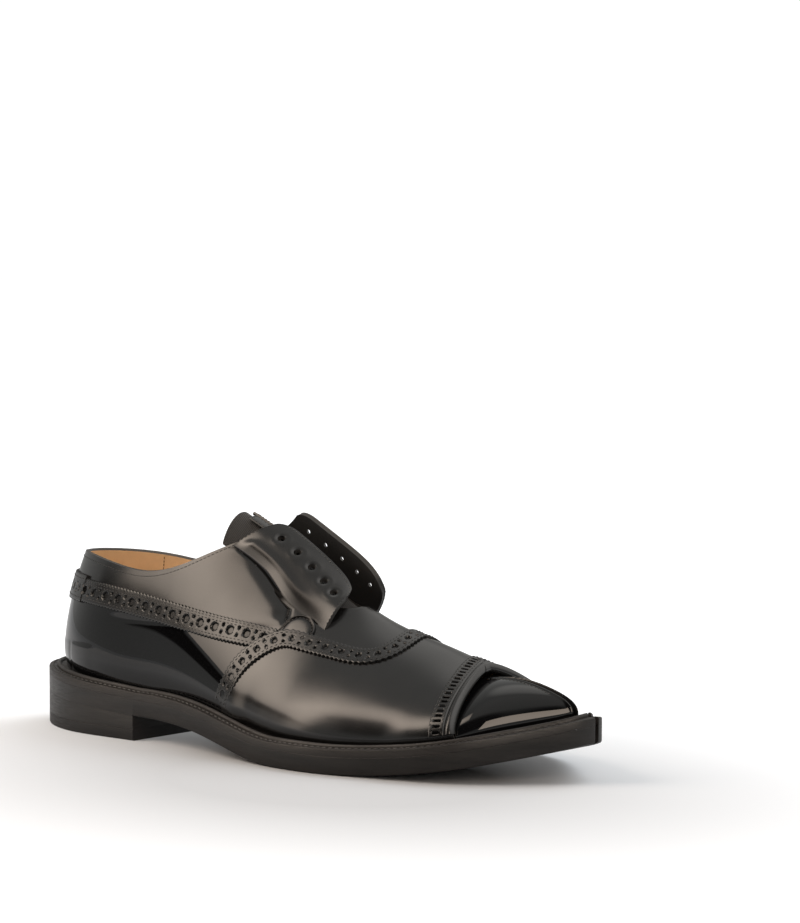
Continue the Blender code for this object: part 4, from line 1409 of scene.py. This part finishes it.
def build_toe():
    outer = toe_grid(0.0, CLEFT_OPEN)
    inner = toe_grid(TOE_WALL, CLEFT_OPEN + TOE_WALL)
    mesh = Mesh()
    # Painted shade in the cleft: the patent loses its gloss where the split is deep
    top = mesh.grid(outer, CLEFT_PAINTED_SHADE * rises(split_depth(outer, CLEFT_OPEN), *CLEFT_PAINTED_SHADE_FROM))
    low = mesh.grid(inner, 0.0, 1, flip=True)
    mesh.sew(np.stack([low[:, 0], top[:, 0]], 1))
    for end in (0, -1):
        mesh.sew(np.stack([top[end], low[end]], 1), flip=end == 0)
    stands_for(mesh.make("toe_patent", [PATENT, SUEDE]), "toe_piece")
    for side in (-1, 1):
        line = []
        for x in np.linspace(*TOE_STITCH_X, 40):
            y = TOE_RIDGE_Y(x) + side * TOE_STITCH_AWAY
            line.append((x - LENGTH / 2, y, toe_height(outer, x - LENGTH / 2, y)))
        stitches(np.array(line), np.array([0.0, 0.25 * side, 0.95]), EDGE_THREAD)


# Sole

SOLE_SHARP = 0.6
WELT_UNDER = 1.6
WELT_STITCH_IN = 1.95
WELT_STITCH_END = 0.985
NOTCH_BEYOND = 4.0
NOTCH_HEIGHTS = (-4.0, 34.0)


def notch_tool():
    x, y = outline(np.array(0.5), np.array(0.0))
    back, front = x - NOTCH_LENGTH, x + NOTCH_BEYOND
    corners = [
        (back, y - NOTCH_END / 2),
        (front, y - NOTCH_MOUTH / 2),
        (front, y + NOTCH_MOUTH / 2),
        (back, y + NOTCH_END / 2),
    ]
    ring = np.array(corners + corners[:1])
    centre = np.repeat(ring[:-1].mean(0)[None], len(ring), 0)
    low, high = NOTCH_HEIGHTS
    layers = []
    for plan, height in ((centre, low), (ring, low), (ring, high), (centre, high)):
        layers.append(np.hstack([plan, np.full((len(ring), 1), height)]))
    tool = Mesh()
    tool.grid(np.stack(layers))
    return tool.make("notch_tool", [SOLE])


def plate(name, stations, rings, materials):
    """A plate from rings (inset, height function), from its lower face, which has the last material, up."""
    turns = turn_of(stations)
    mesh = Mesh()
    sides = []
    for way in (1, -1):
        side = []
        for inset, height in rings:
            depth = inset(stations) if callable(inset) else inset + 0 * turns
            side.append(np.hstack([outline(way * turns, depth), height(stations)[:, None]]))
        sides.append(side)
    lateral, medial = sides
    loop = lateral + medial[::-1]
    slots = np.zeros((len(stations) - 1, len(loop)), int)
    slots[:, -1] = len(materials) - 1
    mesh.grid(np.stack(loop + loop[:1], 1), 0.0, slots)
    for end in (0, -1):
        mesh.grid(np.stack([np.array([ring[end] for ring in side]) for side in sides], 1))
    return mesh.make(name, materials)


def build_sole():
    def under(extra):
        return lambda t: sole_bottom(t) + extra

    def bevel(depth):
        return lambda t: np.where(t < BREAST, 0.03, depth)

    def level(height):
        return lambda t: np.full(t.shape, height)

    breast = [BREAST - 1e-4, BREAST + 1e-4]
    stations = np.unique(np.concatenate([cosine_stations(0.0004, 0.9996, 260), breast]))
    rings = [
        (bevel(1.1), under(0.0)),
        (bevel(0.35), under(0.3)),
        (0.0, under(1.0)),
        (0.0, under(OUTSOLE_THICK + 0.05)),
        (0.07, under(OUTSOLE_THICK + 0.45 * GAP)),
    ]
    outsole = plate("outsole_leather", stations, rings, [SOLE, BOTTOM])
    cut(outsole, notch_tool(), SOLE_SHARP)
    stands_for(outsole, "outsole")
    stations = BREAST * (1 - np.cos(np.linspace(0.02, np.pi / 2, 90)))
    rings = [
        (0.12, level(TOP_LIFT + 0.55 * GAP)),
        (0.0, level(TOP_LIFT + GAP)),
        (0.0, under(-GAP)),
        (0.06, under(-0.1 * GAP)),
    ]
    stands_for(plate("heel_stack", stations, rings, [HEEL]), "heel_block")
    rings = [
        (0.8, level(0.0)),
        (0.25, level(0.2)),
        (0.0, level(0.7)),
        (0.0, level(TOP_LIFT)),
        (0.12, level(TOP_LIFT + 0.45 * GAP)),
    ]
    stands_for(plate("heel_top_lift", stations, rings, [LIFT, BOTTOM]), "top_lift")


def build_welt():
    turns = np.linspace(-0.5, 0.5, 721)
    station = station_of(turns)
    base = sole_bottom(station) + OUTSOLE_THICK + GAP
    profile = [
        (0.07, -0.45 * GAP),
        (0.0, -0.1),
        (0.0, WELT_THICK - 0.7),
        (0.2, WELT_THICK - 0.2),
        (0.7, WELT_THICK),
        (BEAD_FOOT - 0.5, WELT_THICK - 0.05),
        (BEAD_FOOT, WELT_THICK - 0.15),
    ]
    for angle in np.linspace(0, np.pi, 9):
        inset = BEAD_FOOT + BEAD_WIDTH * (1 - np.cos(angle)) / 2
        profile.append((inset, WELT_THICK + BEAD_HEIGHT * np.sin(angle)))
    inner = upper_inset(station) + WELT_UNDER
    profile += [(inner, WELT_THICK), (inner, 0.0)]

    def row(inset, height):
        return np.hstack([outline(turns, inset + 0 * turns), (base + height)[:, None]])

    rows = [row(inset, height) for inset, height in profile]
    mesh = Mesh()
    mesh.grid(np.stack(rows + rows[:1], 1))
    made = mesh.make("welt_rand", [WELT])
    cut(made, notch_tool(), SOLE_SHARP)
    stands_for(made, "welt")
    seat = row(WELT_STITCH_IN, WELT_THICK)
    for side in (turns < 0, turns >= 0):
        stitches(seat[side & (station < WELT_STITCH_END)], np.array([0.0, 0.0, 1.0]), WELT_THREAD, 0.0)


# Tongue, with the layers sewn on it: span along the foot and across it, height and thickness

TONGUE_LAYERS = table(
    "name first last low high lift thick material",
    ("tongue_cap", 113.0, 140.0, 1.055, 1.30, 2.0, 1.5, CALF),
    ("tongue_keeper", 116.0, 126.0, 0.935, 1.02, 1.5, 1.2, STRIP),
)


def turn_at_x(x, share):
    turns = np.linspace(0.05, 0.45, 401)
    reach = wall(turns, np.full(turns.shape, share))[:, 0] + LENGTH / 2
    return float(np.interp(x, reach, turns))


def over_instep(places, shares, lifts, thick):
    """Outer and inner grid of a sheet over the instep, from its outer height at each place."""
    turns = np.array([[turn_at_x(x, min(s, 2 - s)) for s in shares] for x in places])
    return [surface(turns, shares[None], lifts - extra)[0] for extra in (0.0, thick)]


def build_tongue():
    shares = np.linspace(TONGUE_SHARE, 2 - TONGUE_SHARE, 41)
    steps = np.linspace(0, 1, 61)
    rise = (TONGUE_DEPTH - TONGUE_TOP_DEPTH) * np.clip(1 - steps / TONGUE_RISE, 0, 1)
    crown = 1 - ((shares - 1) / (1 - TONGUE_SHARE)) ** 4
    places = TONGUE_TOP + (TONGUE_FRONT - TONGUE_TOP) * steps
    outer, inner = over_instep(places, shares, rise[:, None] * crown - TONGUE_DEPTH, TONGUE_THICK)
    mesh = Mesh()
    thick_sheet(mesh, outer, inner, 0.0, (0, 1, 0), 0.3)
    stands_for(mesh.make("tongue_textile", [CLOTH, LINING]), "tongue")
    for layer in TONGUE_LAYERS:
        shares = np.linspace(layer.low, layer.high, 25)
        places = np.linspace(layer.first, layer.last, 31)
        outer, inner = over_instep(places, shares, layer.lift - TONGUE_TOP_DEPTH, layer.thick)
        mesh = Mesh()
        thick_sheet(mesh, outer, inner, 0.0, (0, 0, 0), 0.3)
        stands_for(mesh.make(layer.name, [layer.material]))
        normal = grid_normals(outer)
        normal = normal * np.sign(normal[..., 2:])
        inside = slice(2, -2)
        for seam in ((2,), (-3,), (inside, 2), (inside, -3)):
            stitches(outer[seam], normal[seam], LINING_THREAD)


# Floor, light and camera

WARM = (1.0, 0.84, 0.70)
COOL = (0.92, 0.97, 1.0)
WHITE = (1.0, 1.0, 1.0, 1.0)
# Area lights round the shoe: where they stand and aim, their size and brightness, and whether they shine in
# gloss, light matt things, and have a bright middle
LAMPS = table(
    "name azimuth elevation away aim size radiance colour roll shines lights bright_middle",
    ("key_box", -46, 38.5, 1.5, 0.04, (0.80, 1.20), 5.2, WARM, 0, False, True, False),
    ("key_glow", -41, 45, 0.6, 0.0, (0.225, 0.595), 6.0, WARM, -15, True, False, True),
    ("facing_glow", -36, 19, 0.42, 0.0, (0.09, 0.35), 2.6, WARM, -20, True, False, True),
    ("side_box", 51, 24.5, 1.6, 0.04, (0.56, 0.85), 5.2, WARM, 0, True, True, False),
    ("back_box", 160, 52, 2.0, 0.04, (1.3, 1.3), 4.0, COOL, 0, False, True, False),
)
LAMP_EDGE = 0.05
# Soft boxes and black flags far off: where, how wide at full and at nothing in degrees, how bright or dark
BOXES = table(
    "azimuth elevation full end colour",
    (-20, 84, 10, 30, (0.15, 0.14, 0.13)),
    (-145, 54, 6, 18, (0.6, 0.58, 0.55)),
    (120, 55, 14, 34, (1.2, 1.15, 1.1)),
    (175, 30, 14, 34, (0.6, 0.58, 0.55)),
)
FLAGS = table(
    "azimuth elevation full end dark low high",
    (10, 36, 24, 36, 0.95, None, None),
    (-57, 13, 13, 17, 1.0, 9.5, 16.5),
)
FLAG_EDGE = 0.8
ROOM = 0.42
ROOM_BLUE = 0.97
PAPER = 1.02
FLOOR_HALF = 9000.0
FLOOR_COLOUR = (0.485, 0.50, 0.525)
# The floor's painted glow grows away from an oval round the shoe: white far off, and its lack near the shoe
# is a painted shadow. Its strength, the oval's stretch, where it starts and is full, and the oval's centre
PAINTED_FLOOR_GLOW = 0.72
GLOW_OVAL = (0.8, 1.0, 1.0)
GLOW_REACH = (0.06, 0.30)
GLOW_CENTRE = (0.05, -0.06, 0.0)
# In reflections only the floor is dimmed, darker still in a patch: painted dark reflections on the shoe
FLOOR_DIM = 0.44
FLOOR_DARK = 0.97
DARK_CENTRE = (0.2, -0.24, 0.0)
DARK_REACH = 0.24
# Camera: angles in degrees, millimetres, and where its target is in the picture, in pixels
CAMERA_TURN = 40.495
CAMERA_TILT = 7.502
CAMERA_AWAY = 1483.7
TARGET_HEIGHT = 30.0
PIXEL = 0.431
PICTURE = (800, 923)
TARGET_PIXEL = (312.07, 678.22)
SENSOR = 36.0


def heading(azimuth, elevation):
    """Unit vector: azimuth 0 straight out of the lateral side, 90 towards the toe."""
    a, e = np.radians(azimuth), np.radians(elevation)
    return np.array([np.sin(a) * np.cos(e), -np.cos(a) * np.cos(e), np.sin(e)])


def brighten_middle(light):
    """Makes an area light brightest in its middle, falling off like a bell to its edges."""
    light.use_nodes = True
    g = Graph(light.node_tree)
    centred = g.vector("SUBTRACT", g.node("NewGeometry").outputs["Parametric"], (0.5, 0.5, 0.0))
    strength = g.math("POWER", LAMP_EDGE, g.vector("DOT_PRODUCT", centred, centred))
    g.feed(strength, g.tree.nodes["Emission"].inputs["Strength"])


def build_lamp(lamp):
    light = bpy.data.lights.new(lamp.name, "AREA")
    light.shape = "RECTANGLE"
    light.size, light.size_y = lamp.size
    light.energy = lamp.radiance * np.pi * lamp.size[0] * lamp.size[1]
    light.color = lamp.colour
    made = bpy.data.objects.new(lamp.name, light)
    bpy.context.scene.collection.objects.link(made)
    made.location = place = lamp.away * heading(lamp.azimuth, lamp.elevation)
    way = Vector((0.0, 0.0, lamp.aim) - place)
    roll = Quaternion((0.0, 0.0, 1.0), np.radians(lamp.roll))
    made.rotation_euler = (way.to_track_quat("-Z", "Y") @ roll).to_euler()
    made.visible_camera = False
    made.visible_glossy = lamp.shines
    made.visible_diffuse = lamp.lights
    if lamp.bright_middle:
        brighten_middle(light)


def build_world():
    world = bpy.data.worlds.new("studio")
    bpy.context.scene.world = world
    world.use_nodes = True
    g = Graph(world.node_tree)
    place = g.node("TexCoord").outputs["Generated"]
    height = g.node("SeparateXYZ", place).outputs["Z"]

    def cone(box):
        """1 inside a cone round a heading, easing to 0 at its end."""
        toward = g.vector("DOT_PRODUCT", place, heading(box.azimuth, box.elevation))
        fade = g.ramp(toward, np.cos(np.radians(box.end)), np.cos(np.radians(box.full)))
        fade.node.interpolation_type = "SMOOTHSTEP"
        return fade

    total = g.node("CombineColor", ROOM, ROOM, ROOM * ROOM_BLUE).outputs["Color"]
    for flag in FLAGS:
        window = cone(flag)
        for edge, inward in ((flag.low, FLAG_EDGE), (flag.high, -FLAG_EDGE)):
            if edge is not None:
                side = g.ramp(height, np.sin(np.radians(edge)), np.sin(np.radians(edge + inward)))
                window = g.math("MULTIPLY", window, side)
        total = g.vector("SCALE", total, Scale=g.math("MULTIPLY_ADD", window, -flag.dark, 1.0))
    for box in BOXES:
        total = g.vector("ADD", total, g.vector("SCALE", box.colour, Scale=cone(box)))
    light = g.tree.nodes["Background"]
    g.feed(total, light.inputs["Color"])
    paper = g.node("Background", Color=WHITE, Strength=PAPER)
    seen = g.node("LightPath").outputs["Is Camera Ray"]
    choose = g.node("MixShader", seen, light.outputs[0], paper.outputs[0])
    g.feed(choose.outputs[0], g.tree.nodes["World Output"].inputs["Surface"])


def build_floor():
    corners = [[(x, y, 0.0) for x in (-FLOOR_HALF, FLOOR_HALF)] for y in (-FLOOR_HALF, FLOOR_HALF)]
    mesh = Mesh()
    mesh.grid(np.array(corners))
    n = Nodes("floor_paper", FLOOR_COLOUR, 0.9, specular=0.1)
    n.set("Base Color", n.mix(n.noise(8.0), FLOOR_COLOUR, tinted(FLOOR_COLOUR, 0.99)))
    n.set("Emission Color", WHITE)
    # Painted glow: the floor glows more with distance from the shoe, leaving a painted shadow round it
    oval = n.vector("DISTANCE", n.scaled(GLOW_OVAL), GLOW_CENTRE)
    n.set("Emission Strength", n.ramp(oval, *GLOW_REACH, 0.0, PAINTED_FLOOR_GLOW))
    # To glossy rays the floor mixes to black, most in a patch: painted dark reflections on the shoe
    away = n.vector("DISTANCE", n.place, DARK_CENTRE)
    patch = n.ramp(away, DARK_REACH, DARK_REACH * 0.6, FLOOR_DIM, FLOOR_DARK)
    reflected = n.math("MULTIPLY", n.node("LightPath").outputs["Is Glossy Ray"], patch)
    dark = n.node("BsdfDiffuse", Color=(0.0, 0.0, 0.0, 1.0))
    both = n.node("MixShader", reflected, n.shader.outputs[0], dark.outputs[0])
    n.feed(both.outputs[0], n.tree.nodes["Material Output"].inputs["Surface"])
    mesh.make("floor", [n.material], turn_out=False)


def build_camera():
    turn, tilt = np.radians(CAMERA_TURN), np.radians(CAMERA_TILT)
    right = np.array([np.cos(turn), np.sin(turn), 0.0])
    back = np.array([np.sin(turn) * np.cos(tilt), -np.cos(turn) * np.cos(tilt), np.sin(tilt)])
    up = np.cross(back, right)
    place = (np.array([0.0, -MIDDLE_Y, TARGET_HEIGHT]) + back * CAMERA_AWAY) * MM
    width, height = PICTURE
    data = bpy.data.cameras.new("camera")
    data.sensor_width = SENSOR
    data.lens = SENSOR * CAMERA_AWAY / (height * PIXEL)
    data.shift_x = (width / 2 - TARGET_PIXEL[0]) / height
    data.shift_y = (TARGET_PIXEL[1] - height / 2) / height
    data.clip_end = 50.0
    made = bpy.data.objects.new("camera", data)
    bpy.context.scene.collection.objects.link(made)
    made.matrix_world = Matrix([*np.column_stack([right, up, back, place]), (0, 0, 0, 1)])
    bpy.context.scene.camera = made


UPPER = build_upper()
SIDES = {"lateral": 1, "medial": -1}
FACINGS = {side: build_facing("facing_" + name, FACING_ROWS[side], side) for name, side in SIDES.items()}
for name, side in SIDES.items():
    build_tab("tab_" + name, side, skin_of(UPPER, FACINGS[side]))
build_strips()
build_toe()
build_sole()
build_welt()
build_tongue()
stands_for(STITCHES.make("stitching", [THREAD]))

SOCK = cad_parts["insole"]
SOCK.data.materials.clear()
SOCK.data.materials.append(LINING)

build_floor()
build_world()
for lamp in LAMPS:
    build_lamp(lamp)
build_camera()
bpy.context.scene.view_settings.view_transform = "Standard"
